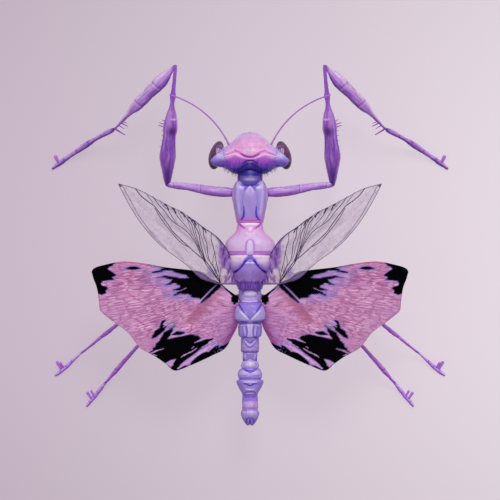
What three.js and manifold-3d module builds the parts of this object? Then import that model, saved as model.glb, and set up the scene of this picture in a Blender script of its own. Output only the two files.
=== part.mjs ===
// A mantis with its wings spread, standing on its six feet.
// Millimetres, +Z up, +Y towards the head; the insect's left is -X. The origin is the middle of
// the footprint, on the ground. Everything to one side of the body is built once and mirrored.
import * as THREE from "three";
import { mergeVertices } from "three/addons/utils/BufferGeometryUtils.js";
import Module from "manifold-3d";

const wasm = await Module();
wasm.setup();

// ---- Driving dimensions ----
const GAP = 0.3; // clearance of a piece that is cut back from its neighbour
const SEAM = 0.16; // the thin cut between two rings of the trunk
const WING_THICKNESS = 0.5;
const TRUNK_SIDES = 16;
const ABDOMEN_SIDES = 12;
const HEAD_SIDES = 16;
const EYE_SIDES = 10;
const SPINE_SIDES = 5;
const LIMB_SIDES = 8;
const LOBE_SIDES = 6;
const FOOT_SIDES = 6;
const FEELER_SIDES = 5;
const SIDES = { left: -1, right: 1 };

// ---- Finishes ----
const finish = (color, roughness) =>
  new THREE.MeshStandardMaterial({ color, roughness, metalness: 0 });
const LILAC = finish(0xa48fd0, 0.5);
const ORCHID = finish(0xd49ad6, 0.5);
const VIOLET = finish(0x9a63bd, 0.5);
const EYE = finish(0x54364f, 0.35);
const MEMBRANE = finish(0xcdb9cb, 0.4);
const PETAL = finish(0xc583b6, 0.6);

// ---- Solids ----
const X_AXIS = new THREE.Vector3(1, 0, 0);
const Y_AXIS = new THREE.Vector3(0, 1, 0);
const Z_AXIS = new THREE.Vector3(0, 0, 1);
const vec = (x, y, z) => new THREE.Vector3(x, y, z);

// A closed geometry from positions and triangles, turned so that its faces point out.
function closedGeometry(points, triangles) {
  let volume = 0;
  for (const [a, b, c] of triangles)
    volume += points[a].dot(vec().crossVectors(points[b], points[c]));
  const index = triangles.flatMap(([a, b, c]) =>
    volume < 0 ? [a, c, b] : [a, b, c],
  );
  return new THREE.BufferGeometry().setFromPoints(points).setIndex(index);
}

// A skin over rings that all have the same number of points, closed by a fan at each end.
function skin(rings) {
  const count = rings[0].length;
  const points = rings.flat();
  const triangles = [];
  for (let r = 0; r + 1 < rings.length; r++)
    for (let i = 0; i < count; i++) {
      const a = r * count + i;
      const b = r * count + ((i + 1) % count);
      triangles.push([a, b, a + count], [b, b + count, a + count]);
    }
  for (const [first, forward] of [
    [0, false],
    [(rings.length - 1) * count, true],
  ]) {
    const middle = vec(0, 0, 0);
    for (let i = 0; i < count; i++) middle.addScaledVector(points[first + i], 1 / count);
    points.push(middle);
    for (let i = 0; i < count; i++) {
      const pair = [first + i, first + ((i + 1) % count)];
      triangles.push([...(forward ? pair : pair.reverse()), points.length - 1]);
    }
  }
  return closedGeometry(points, triangles);
}

// A ring about a centre. Its reach is measured each way along two axes. A squareness of 1 makes it
// an ellipse, and less than 1 a rounded box.
function oval(centre, across, up, { plus, minus, top, bottom }, squareness, sides) {
  const bent = (value) => Math.sign(value) * Math.abs(value) ** squareness;
  return Array.from({ length: sides }, (_, i) => {
    const turn = (i / sides) * 2 * Math.PI;
    const c = bent(Math.cos(turn));
    const s = bent(Math.sin(turn));
    return centre
      .clone()
      .addScaledVector(across, c * (c > 0 ? plus : minus))
      .addScaledVector(up, s * (s > 0 ? top : bottom));
  });
}

// A trunk piece along Y from stations [y, half width, top z, bottom z], widest at middle(y).
function trunk(stations, middle, squareness, grow = 0, sides = TRUNK_SIDES) {
  const last = stations.length - 1;
  return skin(
    stations.map(([y, wide, top, bottom], i) => {
      const beyond = (i === 0 ? grow : 0) - (i === last ? grow : 0);
      const z = middle(y);
      const reach = {
        plus: wide + grow,
        minus: wide + grow,
        top: top - z + grow,
        bottom: z - bottom + grow,
      };
      return oval(vec(0, y + beyond, z), X_AXIS, Z_AXIS, reach, squareness, sides);
    }),
  );
}

// A limb along a curve, from stations [share of its length, half width] and the ratio of its
// thickness to its width.
function limb(curve, stations, thickness, sides, grow = 0) {
  const last = stations.length - 1;
  return skin(
    stations.map(([share, wide], i) => {
      const tangent = curve.getTangentAt(share);
      const across = vec().crossVectors(tangent, Z_AXIS).normalize();
      const up = vec().crossVectors(across, tangent);
      const centre = curve
        .getPointAt(share)
        .addScaledVector(tangent, (i === last ? grow : 0) - (i === 0 ? grow : 0));
      const high = wide * thickness + grow;
      const reach = { plus: wide + grow, minus: wide + grow, top: high, bottom: high };
      return oval(centre, across, up, reach, 1, sides);
    }),
  );
}

// A sheet of even thickness, measured up and down, over a grid of points.
function plate(grid, thickness) {
  const rows = grid.length;
  const columns = grid[0].length;
  const flat = grid.flat();
  const half = thickness / 2;
  const points = [
    ...flat.map((p) => p.clone().addScaledVector(Z_AXIS, half)),
    ...flat.map((p) => p.clone().addScaledVector(Z_AXIS, -half)),
  ];
  const under = flat.length;
  const triangles = [];
  for (let r = 0; r + 1 < rows; r++)
    for (let c = 0; c + 1 < columns; c++) {
      const a = r * columns + c;
      const b = a + columns;
      triangles.push([a, a + 1, b], [a + 1, b + 1, b]);
      triangles.push([under + a, under + b, under + a + 1]);
      triangles.push([under + a + 1, under + b, under + b + 1]);
    }
  const rim = [];
  for (let c = 0; c + 1 < columns; c++) rim.push(c);
  for (let r = 0; r + 1 < rows; r++) rim.push(r * columns + columns - 1);
  for (let c = columns - 1; c > 0; c--) rim.push((rows - 1) * columns + c);
  for (let r = rows - 1; r > 0; r--) rim.push(r * columns);
  rim.forEach((a, i) => {
    const b = rim[(i + 1) % rim.length];
    triangles.push([b, a, under + a], [b, under + a, under + b]);
  });
  return closedGeometry(points, triangles);
}

// A grid over the patch between four edges: near and far run from root to margin, and root and
// margin run from near to far.
function patch({ near, far, root, margin }, across, along) {
  const grid = [];
  for (let i = 0; i <= across; i++) {
    const u = i / across;
    grid.push(
      Array.from({ length: along + 1 }, (_, j) => {
        const v = j / along;
        const point = vec(0, 0, 0);
        point.addScaledVector(near.getPoint(v), 1 - u);
        point.addScaledVector(far.getPoint(v), u);
        point.addScaledVector(root.getPoint(u), 1 - v);
        point.addScaledVector(margin.getPoint(u), v);
        point.addScaledVector(near.getPoint(0), -(1 - u) * (1 - v));
        point.addScaledVector(near.getPoint(1), -(1 - u) * v);
        point.addScaledVector(far.getPoint(0), -u * (1 - v));
        point.addScaledVector(far.getPoint(1), -u * v);
        return point;
      }),
    );
  }
  return grid;
}

// A geometry as a solid that can be joined and cut.
function solid(geometry) {
  const bare = geometry.clone();
  for (const name of ["normal", "uv"]) bare.deleteAttribute(name);
  const merged = mergeVertices(bare, 1e-5);
  return new wasm.Manifold(
    new wasm.Mesh({
      numProp: 3,
      vertProperties: merged.attributes.position.array,
      triVerts: new Uint32Array(merged.index.array),
    }),
  );
}

// The largest body of a solid, as a geometry.
function geometryOf(made) {
  const bodies = made.decompose().sort((a, b) => b.volume() - a.volume());
  const mesh = bodies[0].getMesh();
  return new THREE.BufferGeometry()
    .setAttribute("position", new THREE.BufferAttribute(mesh.vertProperties, 3))
    .setIndex(new THREE.BufferAttribute(mesh.triVerts, 1));
}

const mantis = new THREE.Group();

// Adds a node, cut clear of its neighbours. They are makers that take the clearance to grow by.
function add(name, geometry, material, neighbours = []) {
  const cut = neighbours.reduce(
    (made, neighbour) => made.subtract(solid(neighbour(GAP))),
    solid(geometry),
  );
  const mesh = new THREE.Mesh(geometryOf(cut), material);
  mesh.name = name;
  mantis.add(mesh);
}

// ---- Head: a wide triangle in front view, its vertex low domed and its face narrowing down ----
const HEAD_BROW = 12.2; // height of its widest line, where the frons bulges forward
const HEAD_WAIST = 0.45; // where its widest line runs, as a share of the way forward
const HEAD_SQUARENESS = 0.95;
const CHIN_DEPTH = 0.6; // least height of the widest line over the chin
// [x, front y, back y, top z, chin z]
const HEAD_HALF = [
  [0, 22.6, 14.5, 16.1, 4.2],
  [1.2, 22.45, 14.4, 16.1, 4.4],
  [2.3, 22.0, 14.3, 15.9, 5.2],
  [3.2, 21.2, 14.5, 15.7, 6.6],
  [4.2, 20.4, 15.15, 15.5, 8.0],
  [5.2, 19.7, 15.6, 15.2, 9.2],
  [6.4, 18.75, 15.75, 14.65, 10.4],
  [7.9, 17.5, 16.5, 13.9, 11.9],
];
function head(grow = 0) {
  const stations = [
    ...HEAD_HALF.slice(1).reverse().map(([x, ...rest]) => [-x, ...rest]),
    ...HEAD_HALF,
  ];
  const last = stations.length - 1;
  return skin(
    stations.map(([x, front, back, top, chin], i) => {
      const y = THREE.MathUtils.lerp(back, front, HEAD_WAIST);
      const z = Math.max(HEAD_BROW, chin + CHIN_DEPTH);
      const reach = {
        plus: front - y + grow,
        minus: y - back + grow,
        top: top - z + grow,
        bottom: z - chin + grow,
      };
      const beyond = (i === last ? grow : 0) - (i === 0 ? grow : 0);
      return oval(vec(x + beyond, y, z), Y_AXIS, Z_AXIS, reach, HEAD_SQUARENESS, HEAD_SIDES);
    }),
  );
}

// An eye wraps round the side lobe of the head: long fore and aft, tall, and thin across. Its
// middle line bends in towards the front.
const EYE_LINE = [[7.2, 15.36, 11.1], [7.0, 17.0, 11.1], [6.48, 19.2, 11.1], [6.05, 20.95, 11.1]];
const EYE_HALF_HEIGHT = 2.95;
const EYE_HALF_WIDTH = 1.5;
const EYE_RINGS = 9;
const EYE_BLUNTNESS = 0.06; // share of a half turn that is left off each end
function eye(side, grow = 0) {
  const line = curveOf(side, EYE_LINE);
  const rings = [];
  for (let i = 0; i < EYE_RINGS; i++) {
    const share = i / (EYE_RINGS - 1);
    const turn = THREE.MathUtils.lerp(EYE_BLUNTNESS, 1 - EYE_BLUNTNESS, share) * Math.PI;
    const wide = EYE_HALF_WIDTH * Math.sin(turn) + grow;
    const high = EYE_HALF_HEIGHT * Math.sin(turn) + grow;
    const reach = { plus: wide, minus: wide, top: high, bottom: high };
    rings.push(
      oval(line.getPointAt((1 - Math.cos(turn)) / 2), X_AXIS, Z_AXIS, reach, 1, EYE_SIDES),
    );
  }
  return skin(rings);
}

// The lip, jaws and their palps hang as one blunt block below the face.
const MOUTH_Y = 18.3;
const MOUTH_SQUARENESS = 0.8;
// [z, half width, half depth]
const MOUTH_STATIONS = [
  [4.6, 1.0, 0.9],
  [3.9, 1.25, 1.1],
  [3.0, 1.15, 1.0],
  [2.3, 0.8, 0.75],
  [1.9, 0.4, 0.4],
];
function mouthparts() {
  const rings = MOUTH_STATIONS.map(([z, wide, deep]) => {
    const reach = { plus: wide, minus: wide, top: deep, bottom: deep };
    return oval(vec(0, MOUTH_Y, z), X_AXIS, Y_AXIS, reach, MOUTH_SQUARENESS, ABDOMEN_SIDES);
  });
  return skin(rings);
}

// A feeler rises from the brow and arches forward and outward over the foreleg.
const FEELER_RINGS = 9;
const FEELER_ROOT = 0.32; // its half width at the root
const FEELER_TIP = 0.26;
function antenna(side) {
  const curve = new THREE.QuadraticBezierCurve3(
    vec(side * 4.2, 20.2, 12.8),
    vec(side * 7.8, 27.7, 17.6),
    vec(side * 16.1, 30.2, 15.6),
  );
  const stations = Array.from({ length: FEELER_RINGS }, (_, i) => {
    const share = i / (FEELER_RINGS - 1);
    return [share, THREE.MathUtils.lerp(FEELER_ROOT, FEELER_TIP, share)];
  });
  return limb(curve, stations, 1, FEELER_SIDES);
}

// ---- Neck and thorax ----
const level = (z) => () => z;
const neck = (grow) =>
  trunk(
    [
      [15.7, 2.2, 14.3, 10.1],
      [14.6, 2.4, 14.6, 9.9],
      [13.6, 2.42, 14.75, 9.8],
      [12.8, 2.2, 14.8, 9.8],
      [12.1, 1.9, 14.75, 9.9],
    ],
    level(12),
    0.9,
    grow,
  );
const pronotum = (grow) =>
  trunk(
    [
      [13.3, 2.45, 13.7, 10.0],
      [12.9, 2.75, 14.2, 9.6],
      [12.2, 3.16, 14.5, 9.1],
      [11.2, 3.5, 14.8, 8.8],
      [9.8, 3.64, 14.9, 8.6],
      [8.4, 3.38, 14.9, 8.7],
      [5.6, 2.86, 14.8, 9.0],
      [4.64, 2.66, 14.6, 9.2],
    ],
    level(11.8),
    0.78,
    grow,
  );
const mesothorax = (grow) =>
  trunk(
    [
      [4.64 - SEAM, 2.6, 14.5, 9.2],
      [3.2, 2.7, 14.7, 8.8],
      [2.5, 3.15, 14.9, 8.5],
      [1.7, 4.1, 15.3, 8.0],
      [0.9, 4.8, 15.6, 7.6],
      [-0.2, 5.05, 15.8, 7.3],
      [-1.0, 4.95, 15.8, 7.2],
      [-1.84, 4.6, 15.6, 7.1],
    ],
    level(11.8),
    0.8,
    grow,
  );
const metathorax = (grow) =>
  trunk(
    [
      [-1.84 - SEAM, 4.3, 15.5, 7.1],
      [-3.2, 4.3, 15.6, 7.1],
      [-4.4, 4.2, 15.5, 7.2],
      [-5.4, 3.9, 15.2, 7.4],
      [-6.4, 3.45, 14.8, 7.7],
      [-7.4, 2.95, 14.4, 8.1],
      [-8.64, 2.4, 14.0, 8.6],
    ],
    level(11.6),
    0.8,
    grow,
  );

// ---- Abdomen: ten rings of differing outline along an axis that sinks towards the tail ----
const ABDOMEN_START = { y: -8.8, z: 11.2 };
const ABDOMEN_END = { y: -36, z: 9.8 };
const abdomenAxis = (y) =>
  THREE.MathUtils.mapLinear(
    y,
    ABDOMEN_START.y,
    ABDOMEN_END.y,
    ABDOMEN_START.z,
    ABDOMEN_END.z,
  );
const ABDOMEN_DEPTH = 0.86; // half height over half width
// Each ring has its [y, half width] stations, from front to back.
const ABDOMEN_RINGS = [
  [[-8.8, 2.15], [-9.4, 2.28], [-10.4, 2.25], [-11.4, 2.15]],
  [[-11.4, 2.35], [-12.0, 3.0], [-12.8, 3.25], [-13.7, 3.42], [-14.6, 3.3], [-15.1, 3.0],
    [-15.45, 2.5]],
  [[-15.45, 2.2], [-16.1, 2.4], [-17.4, 2.36], [-18.1, 2.0]],
  [[-18.1, 1.78], [-20.4, 1.82], [-21.25, 1.78]],
  [[-21.25, 1.45], [-22.3, 1.46], [-23.0, 1.42]],
  [[-23.0, 1.35], [-23.4, 1.62], [-23.9, 1.82], [-24.55, 1.5]],
  [[-24.55, 1.7], [-25.0, 2.25], [-25.7, 2.46], [-26.3, 2.36], [-26.75, 1.95]],
  [[-26.75, 2.58], [-27.2, 2.72], [-28.1, 2.4], [-29.0, 1.9], [-29.7, 1.45]],
  [[-29.7, 1.5], [-31.3, 1.6], [-32.95, 1.5]],
  [[-32.95, 1.65], [-33.4, 1.86], [-34.2, 1.7], [-35.0, 1.3], [-35.4, 1.0]],
];
function abdomenRing(index, grow = 0) {
  const ends = [0, ABDOMEN_RINGS[index].length - 1];
  const stations = ABDOMEN_RINGS[index].map(([y, wide], i) => {
    const z = abdomenAxis(y);
    const seam = i === ends[0] ? -SEAM / 2 : i === ends[1] ? SEAM / 2 : 0;
    return [y + seam, wide, z + wide * ABDOMEN_DEPTH, z - wide * ABDOMEN_DEPTH];
  });
  return trunk(stations, abdomenAxis, 0.92, grow, ABDOMEN_SIDES);
}

// A short feeler on each side of the tail.
const CERCUS_STATIONS = [[0, 0.3], [0.5, 0.34], [1, 0.2]];
function cercus(side) {
  const line = new THREE.LineCurve3(
    vec(side * 0.5, -35.2, 9.75),
    vec(side * 0.62, -36.2, 9.7),
  );
  return limb(line, CERCUS_STATIONS, 1, FEELER_SIDES);
}

// ---- Legs ----
const curveOf = (side, points) =>
  new THREE.CatmullRomCurve3(
    points.map(([x, y, z]) => vec(side * x, y, z)),
    false,
    "centripetal",
  );

// Foreleg: a rod of a hip, a long swollen thigh that ends in a stalk, a spindle shin, and a foot
// with two slight swellings. Spines stand on the outer edge of the thigh and near the ankle.
const FORE_HIP = [[3.1, 10.7, 10.8], [7.6, 11.0, 10.5], [12.0, 11.8, 10.1], [16.6, 12.3, 9.8]];
const FORE_THIGH = [[16.5, 12.0, 9.9], [16.45, 18.0, 10.6], [15.85, 25.0, 11.6], [14.86, 36.2, 12.8]];
const FORE_SHIN = [[15.0, 36.0, 12.8], [18.2, 32.6, 11.4], [21.2, 29.7, 9.6], [27.3, 23.5, 5.2]];
const FORE_FOOT = [[27.3, 23.5, 5.2], [31.0, 21.6, 3.2], [35.0, 19.0, 1.3], [38.4, 16.7, 0.32],
  [40.0, 15.5, 0.3]];
const HIP_THICKNESS = 0.9; // height over width
const THIGH_THICKNESS = 0.68;
const SHIN_THICKNESS = 0.7;
const FORE_HIP_STATIONS = [[0, 0.8], [0.15, 1.0], [0.35, 0.98], [0.6, 0.8], [0.85, 0.68], [1, 0.5]];
const FORE_THIGH_STATIONS = [
  [0, 0.35],
  [0.05, 0.74],
  [0.12, 1.1],
  [0.25, 1.63],
  [0.33, 1.46],
  [0.41, 1.28],
  [0.48, 1.44],
  [0.54, 1.25],
  [0.6, 0.95],
  [0.67, 0.46],
  [0.74, 0.6],
  [0.82, 0.38],
  [1, 0.25],
];
const FORE_SHIN_STATIONS = [
  [0, 0.3],
  [0.08, 0.62],
  [0.16, 1.08],
  [0.25, 1.36],
  [0.42, 1.3],
  [0.55, 1.12],
  [0.66, 0.94],
  [0.74, 0.56],
  [0.84, 0.3],
  [1, 0.28],
];
const FORE_FOOT_STATIONS = [
  [0, 0.32],
  [0.13, 0.5],
  [0.27, 0.34],
  [0.42, 0.5],
  [0.6, 0.34],
  [0.88, 0.42],
  [1, 0.26],
];
const forelegHip = (side, grow) =>
  limb(curveOf(side, FORE_HIP), FORE_HIP_STATIONS, HIP_THICKNESS, LIMB_SIDES, grow);
const forelegThigh = (side, grow) =>
  limb(curveOf(side, FORE_THIGH), FORE_THIGH_STATIONS, THIGH_THICKNESS, LIMB_SIDES, grow);
const forelegShin = (side, grow) =>
  limb(curveOf(side, FORE_SHIN), FORE_SHIN_STATIONS, SHIN_THICKNESS, LIMB_SIDES, grow);

// Joins spines or claws to a segment. Each is given as its root and its tip.
const SPINE_STATIONS = [[0, 0.27], [1, 0.12]];
function withSpines(side, geometry, spines) {
  const placed = ([x, y, z]) => vec(side * x, y, z);
  return spines.reduce((made, [root, tip]) => {
    const line = new THREE.LineCurve3(placed(root), placed(tip));
    return made.add(solid(limb(line, SPINE_STATIONS, 1, SPINE_SIDES)));
  }, solid(geometry));
}
const THIGH_SPINES = [
  [[17.0, 23.9, 11.4], [18.3, 24.2, 11.5]],
  [[16.8, 24.8, 11.4], [17.7, 25.1, 11.5]],
];
const SHIN_SPINES = [
  [[26.1, 24.8, 6.1], [24.6, 23.9, 5.8]],
  [[27.1, 23.5, 5.3], [25.1, 22.3, 4.8]],
];
const FORE_CLAWS = [[[38.5, 16.75, 0.4], [39.35, 18.25, 0.9]]];

// A foot ends in a pad that lies flat on the ground, with claws that turn up beside it.
function foot(side, points, stations, claws) {
  const pad = limb(curveOf(side, points), stations, 1, FOOT_SIDES);
  return geometryOf(withSpines(side, pad, claws).trimByPlane([0, 0, 1], 0));
}

// The walking legs: a short hip, a thigh that rises to the knee, and a straight shin and foot.
const WALKING_LEGS = {
  midleg: {
    hip: [[2.2, -3.0, 8.0], [3.9, -4.2, 6.7]],
    thigh: [[3.9, -4.2, 6.8], [12.0, -7.6, 10.2], [20.0, -10.6, 11.6]],
    shin: [[20.0, -10.6, 11.6], [26.7, -15.8, 6.6], [33.8, -21.4, 1.4]],
    foot: [[33.8, -21.4, 1.4], [35.6, -23.0, 0.7], [37.6, -24.8, 0.3], [39.4, -26.2, 0.3]],
    claws: [
      [[37.8, -24.6, 0.4], [38.95, -23.35, 0.9]],
      [[37.4, -24.3, 0.5], [38.2, -23.1, 1.1]],
    ],
    hipStations: [[0, 0.95], [0.5, 1.0], [1, 0.8]],
    thighStations: [[0, 0.6], [0.12, 0.82], [0.35, 0.8], [0.65, 0.62], [0.92, 0.5], [1, 0.44]],
    shinStations: [[0, 0.42], [0.08, 0.45], [0.4, 0.32], [0.66, 0.34], [0.8, 0.27], [1, 0.27]],
  },
  hindleg: {
    hip: [[1.3, -7.0, 8.2], [1.6, -10.0, 7.0]],
    thigh: [[1.6, -10.0, 7.0], [9.5, -12.4, 9.8], [17.0, -14.2, 11.2]],
    shin: [[17.0, -14.2, 11.2], [22.9, -20.5, 6.2], [29.1, -27.5, 1.3]],
    foot: [[29.1, -27.5, 1.3], [30.5, -29.3, 0.7], [31.8, -30.9, 0.3], [33.1, -32.4, 0.3]],
    claws: [
      [[32.0, -30.8, 0.4], [32.9, -29.6, 0.9]],
      [[31.5, -30.2, 0.5], [32.0, -29.3, 1.1]],
    ],
    hipStations: [[0, 0.7], [0.5, 0.7], [1, 0.6]],
    thighStations: [[0, 0.5], [0.12, 0.66], [0.35, 0.8], [0.65, 0.62], [0.92, 0.5], [1, 0.44]],
    shinStations: [[0, 0.42], [0.08, 0.45], [0.35, 0.32], [0.75, 0.34], [0.9, 0.4], [1, 0.28]],
  },
};
const WALKING_FOOT_STATIONS = [[0, 0.27], [0.3, 0.3], [0.6, 0.28], [0.88, 0.34], [1, 0.24]];

// A thin petal-like lobe hangs below the thigh of each walking leg.
const LOBE_SPAN = [0.32, 0.86]; // from and to, as shares of the thigh's length
const LOBE_DEPTH = 2.1;
const LOBE_HALF_THICKNESS = 0.27;
const LOBE_RINGS = 6;
function thighLobe(side, points) {
  const curve = curveOf(side, points);
  const rings = Array.from({ length: LOBE_RINGS }, (_, i) => {
    const share = i / (LOBE_RINGS - 1);
    const at = THREE.MathUtils.lerp(...LOBE_SPAN, share);
    const tangent = curve.getTangentAt(at);
    const across = vec().crossVectors(tangent, Z_AXIS).normalize();
    const up = vec().crossVectors(across, tangent);
    const bottom = LOBE_HALF_THICKNESS + LOBE_DEPTH * Math.sin(share * Math.PI);
    const reach = {
      plus: LOBE_HALF_THICKNESS,
      minus: LOBE_HALF_THICKNESS,
      top: LOBE_HALF_THICKNESS,
      bottom,
    };
    return oval(curve.getPointAt(at), across, up, reach, 1, LOBE_SIDES);
  });
  return skin(rings);
}

// ---- Wings, as patches between their four edges ----
// The forewing is narrow and pointed, with a small lobe behind its root.
const FOREWING = {
  near: [[4.1, -1.8, 14.3], [5.0, -0.1, 14.6], [6.1, 1.3, 14.8], [7.5, 2.5, 15.0],
    [9.2, 3.6, 15.2], [11.4, 5.3, 15.4], [15.6, 7.75, 15.9], [18.6, 9.3, 16.3],
    [22.6, 11.4, 16.8], [26.2, 12.4, 17.2]],
  far: [[2.5, -7.7, 13.4], [4.8, -7.6, 14.0], [6.0, -7.5, 14.3], [8.0, -6.8, 14.6],
    [10.6, -5.4, 14.9], [13.4, -3.2, 15.2], [17.2, -0.4, 15.7], [20.2, 2.6, 16.1],
    [23.0, 6.4, 16.6], [26.1, 12.1, 17.2]],
  root: [[4.1, -1.8, 14.3], [3.3, -4.8, 13.9], [2.5, -7.7, 13.4]],
  margin: [[26.2, 12.4, 17.2], [26.1, 12.1, 17.2]],
};
// The hindwing is a broad fan with a squared tip, scalloped behind.
const HINDWING = {
  near: [[5.9, -7.6, 13.3], [9.0, -6.2, 13.5], [12.2, -4.9, 13.8], [17.0, -4.1, 14.3],
    [22.0, -3.35, 14.9], [25.6, -3.1, 15.3], [29.0, -3.75, 15.5], [30.6, -4.2, 15.55],
    [31.35, -4.65, 15.6]],
  far: [[2.3, -10.2, 12.7], [2.3, -12.6, 12.6], [2.4, -15.6, 12.4]],
  root: [[5.9, -7.6, 13.3], [4.2, -9.0, 13.0], [2.3, -10.2, 12.7]],
  margin: [[31.35, -4.65, 15.6], [31.6, -5.2, 15.6], [31.4, -6.6, 15.5], [30.9, -8.2, 15.4],
    [30.35, -11.0, 15.2], [30.25, -12.3, 15.05], [30.0, -12.9, 15.0], [27.6, -14.9, 14.5],
    [24.4, -17.3, 13.9], [22.8, -19.6, 13.5], [22.2, -20.9, 13.3], [19.0, -22.2, 12.9],
    [15.2, -24.9, 12.5], [12.2, -24.2, 12.4], [7.6, -22.2, 12.3], [5.0, -20.6, 12.3],
    [3.6, -18.2, 12.3], [2.4, -15.6, 12.4]],
};
const edgesOf = (side, wing) =>
  Object.fromEntries(Object.entries(wing).map(([name, points]) => [name, curveOf(side, points)]));
// Cells of each wing's grid, from near to far and from root to margin.
const FOREWING_CELLS = [3, 13];
const HINDWING_CELLS = [22, 5];
const forewing = (side) => plate(patch(edgesOf(side, FOREWING), ...FOREWING_CELLS), WING_THICKNESS);
const hindwing = (side) => plate(patch(edgesOf(side, HINDWING), ...HINDWING_CELLS), WING_THICKNESS);

// ---- Assembly ----
add("head", head(), ORCHID);
add("mouthparts", mouthparts(), VIOLET, [head]);
add("neck", neck(), LILAC, [head]);
add("pronotum", pronotum(), LILAC, [neck]);
add("mesothorax", mesothorax(), ORCHID);
add("metathorax", metathorax(), LILAC);
ABDOMEN_RINGS.forEach((_, index) =>
  add(`abdomen_${index + 1}`, abdomenRing(index), LILAC),
);

for (const [label, side] of Object.entries(SIDES)) {
  const named = (part) => `${part}_${label}`;
  add(named("eye"), eye(side), EYE, [head]);
  add(named("antenna"), antenna(side), VIOLET, [head, (grow) => eye(side, grow)]);
  add(named("cercus"), cercus(side), LILAC, [(grow) => abdomenRing(9, grow)]);

  const hip = (grow) => forelegHip(side, grow);
  const thigh = (grow) => forelegThigh(side, grow);
  const shin = (grow) => forelegShin(side, grow);
  add(named("foreleg_coxa"), hip(), VIOLET, [pronotum]);
  add(named("foreleg_femur"), geometryOf(withSpines(side, thigh(), THIGH_SPINES)), VIOLET, [hip]);
  add(named("foreleg_tibia"), geometryOf(withSpines(side, shin(), SHIN_SPINES)), VIOLET, [thigh]);
  const foreFoot = foot(side, FORE_FOOT, FORE_FOOT_STATIONS, FORE_CLAWS);
  add(named("foreleg_tarsus"), foreFoot, VIOLET, [shin]);

  for (const [leg, shape] of Object.entries(WALKING_LEGS)) {
    const segment = (part) => (grow) =>
      limb(curveOf(side, shape[part]), shape[`${part}Stations`], 1, LIMB_SIDES, grow);
    const [coxa, femur, tibia] = ["hip", "thigh", "shin"].map(segment);
    const lobed = solid(femur()).add(solid(thighLobe(side, shape.thigh)));
    add(named(`${leg}_coxa`), coxa(), VIOLET, [mesothorax, metathorax]);
    add(named(`${leg}_femur`), geometryOf(lobed), VIOLET, [coxa, metathorax]);
    add(named(`${leg}_tibia`), tibia(), VIOLET, [femur]);
    const tarsus = foot(side, shape.foot, WALKING_FOOT_STATIONS, shape.claws);
    add(named(`${leg}_tarsus`), tarsus, VIOLET, [tibia]);
  }

  const behind = [0, 1, 2].map((index) => (grow) => abdomenRing(index, grow));
  add(named("forewing"), forewing(side), MEMBRANE, [mesothorax, metathorax]);
  add(named("hindwing"), hindwing(side), PETAL, [metathorax, ...behind]);
}

// The footprint's middle becomes the origin.
const extent = new THREE.Box3().setFromObject(mantis);
const middle = extent.getCenter(vec());
mantis.position.set(-middle.x, -middle.y, -extent.min.z);

export default mantis;
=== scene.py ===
"""An orchid mantis with its wings spread: shell plates, limbs and wings as fine meshes that stand
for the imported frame's solids.

Shapes are worked out in millimetres in the insect's own axes, X to its right, Y towards its head
and Z up, and are set on the frame by the place of its pronotum. Colours are red, green and blue
out of 255. They are painted on the points of each mesh, and the materials read them there."""

import itertools
import math

import bpy
import numpy as np
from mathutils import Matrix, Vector, kdtree


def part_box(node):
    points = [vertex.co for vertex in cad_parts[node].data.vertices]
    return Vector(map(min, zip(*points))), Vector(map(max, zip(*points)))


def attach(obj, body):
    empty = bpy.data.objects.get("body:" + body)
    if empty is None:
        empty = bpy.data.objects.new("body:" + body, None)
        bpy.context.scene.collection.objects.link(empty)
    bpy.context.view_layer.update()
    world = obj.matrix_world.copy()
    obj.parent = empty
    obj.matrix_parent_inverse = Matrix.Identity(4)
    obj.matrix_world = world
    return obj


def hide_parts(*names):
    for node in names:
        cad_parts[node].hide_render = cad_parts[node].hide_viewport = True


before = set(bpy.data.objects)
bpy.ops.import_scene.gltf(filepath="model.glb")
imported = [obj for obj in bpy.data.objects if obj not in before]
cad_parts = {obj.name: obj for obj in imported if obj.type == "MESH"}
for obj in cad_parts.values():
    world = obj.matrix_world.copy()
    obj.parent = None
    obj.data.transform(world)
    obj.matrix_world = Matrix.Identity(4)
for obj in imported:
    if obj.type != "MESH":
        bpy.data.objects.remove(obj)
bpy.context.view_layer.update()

MM = 0.001

# ---- The insect's own axes on the frame ----
# The rearmost y and the highest z of the pronotum in them.
PRONOTUM_BACK = 4.64
PRONOTUM_TOP = 14.9
pronotum_low, pronotum_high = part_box("pronotum")
SHIFT = np.array([0, pronotum_low.y / MM - PRONOTUM_BACK, pronotum_high.z / MM - PRONOTUM_TOP])

# ---- Fineness, in millimetres ----
STEP = 0.1  # from ring to ring
RIM_STEPS = 4  # rings over a rounded rim
CAP_RINGS = (0.8, 0.5, 0.2)  # shares of the end ring's size
OVAL_FINENESS = 4001  # points tried round an oval


# ---- Numbers ----
def smoothstep(low, high, value):
    share = np.clip((value - low) / (high - low), 0, 1)
    return share * share * (3 - 2 * share)


def cubic(start, leaving, end, arriving, t):
    """Places on the cubic from start to end that has these slopes at its ends."""
    from_start = start * (1 + 2 * t) + leaving * t
    from_end = end * (3 - 2 * t) - arriving * (1 - t)
    return from_start * (1 - t) ** 2 + from_end * t**2


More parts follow.
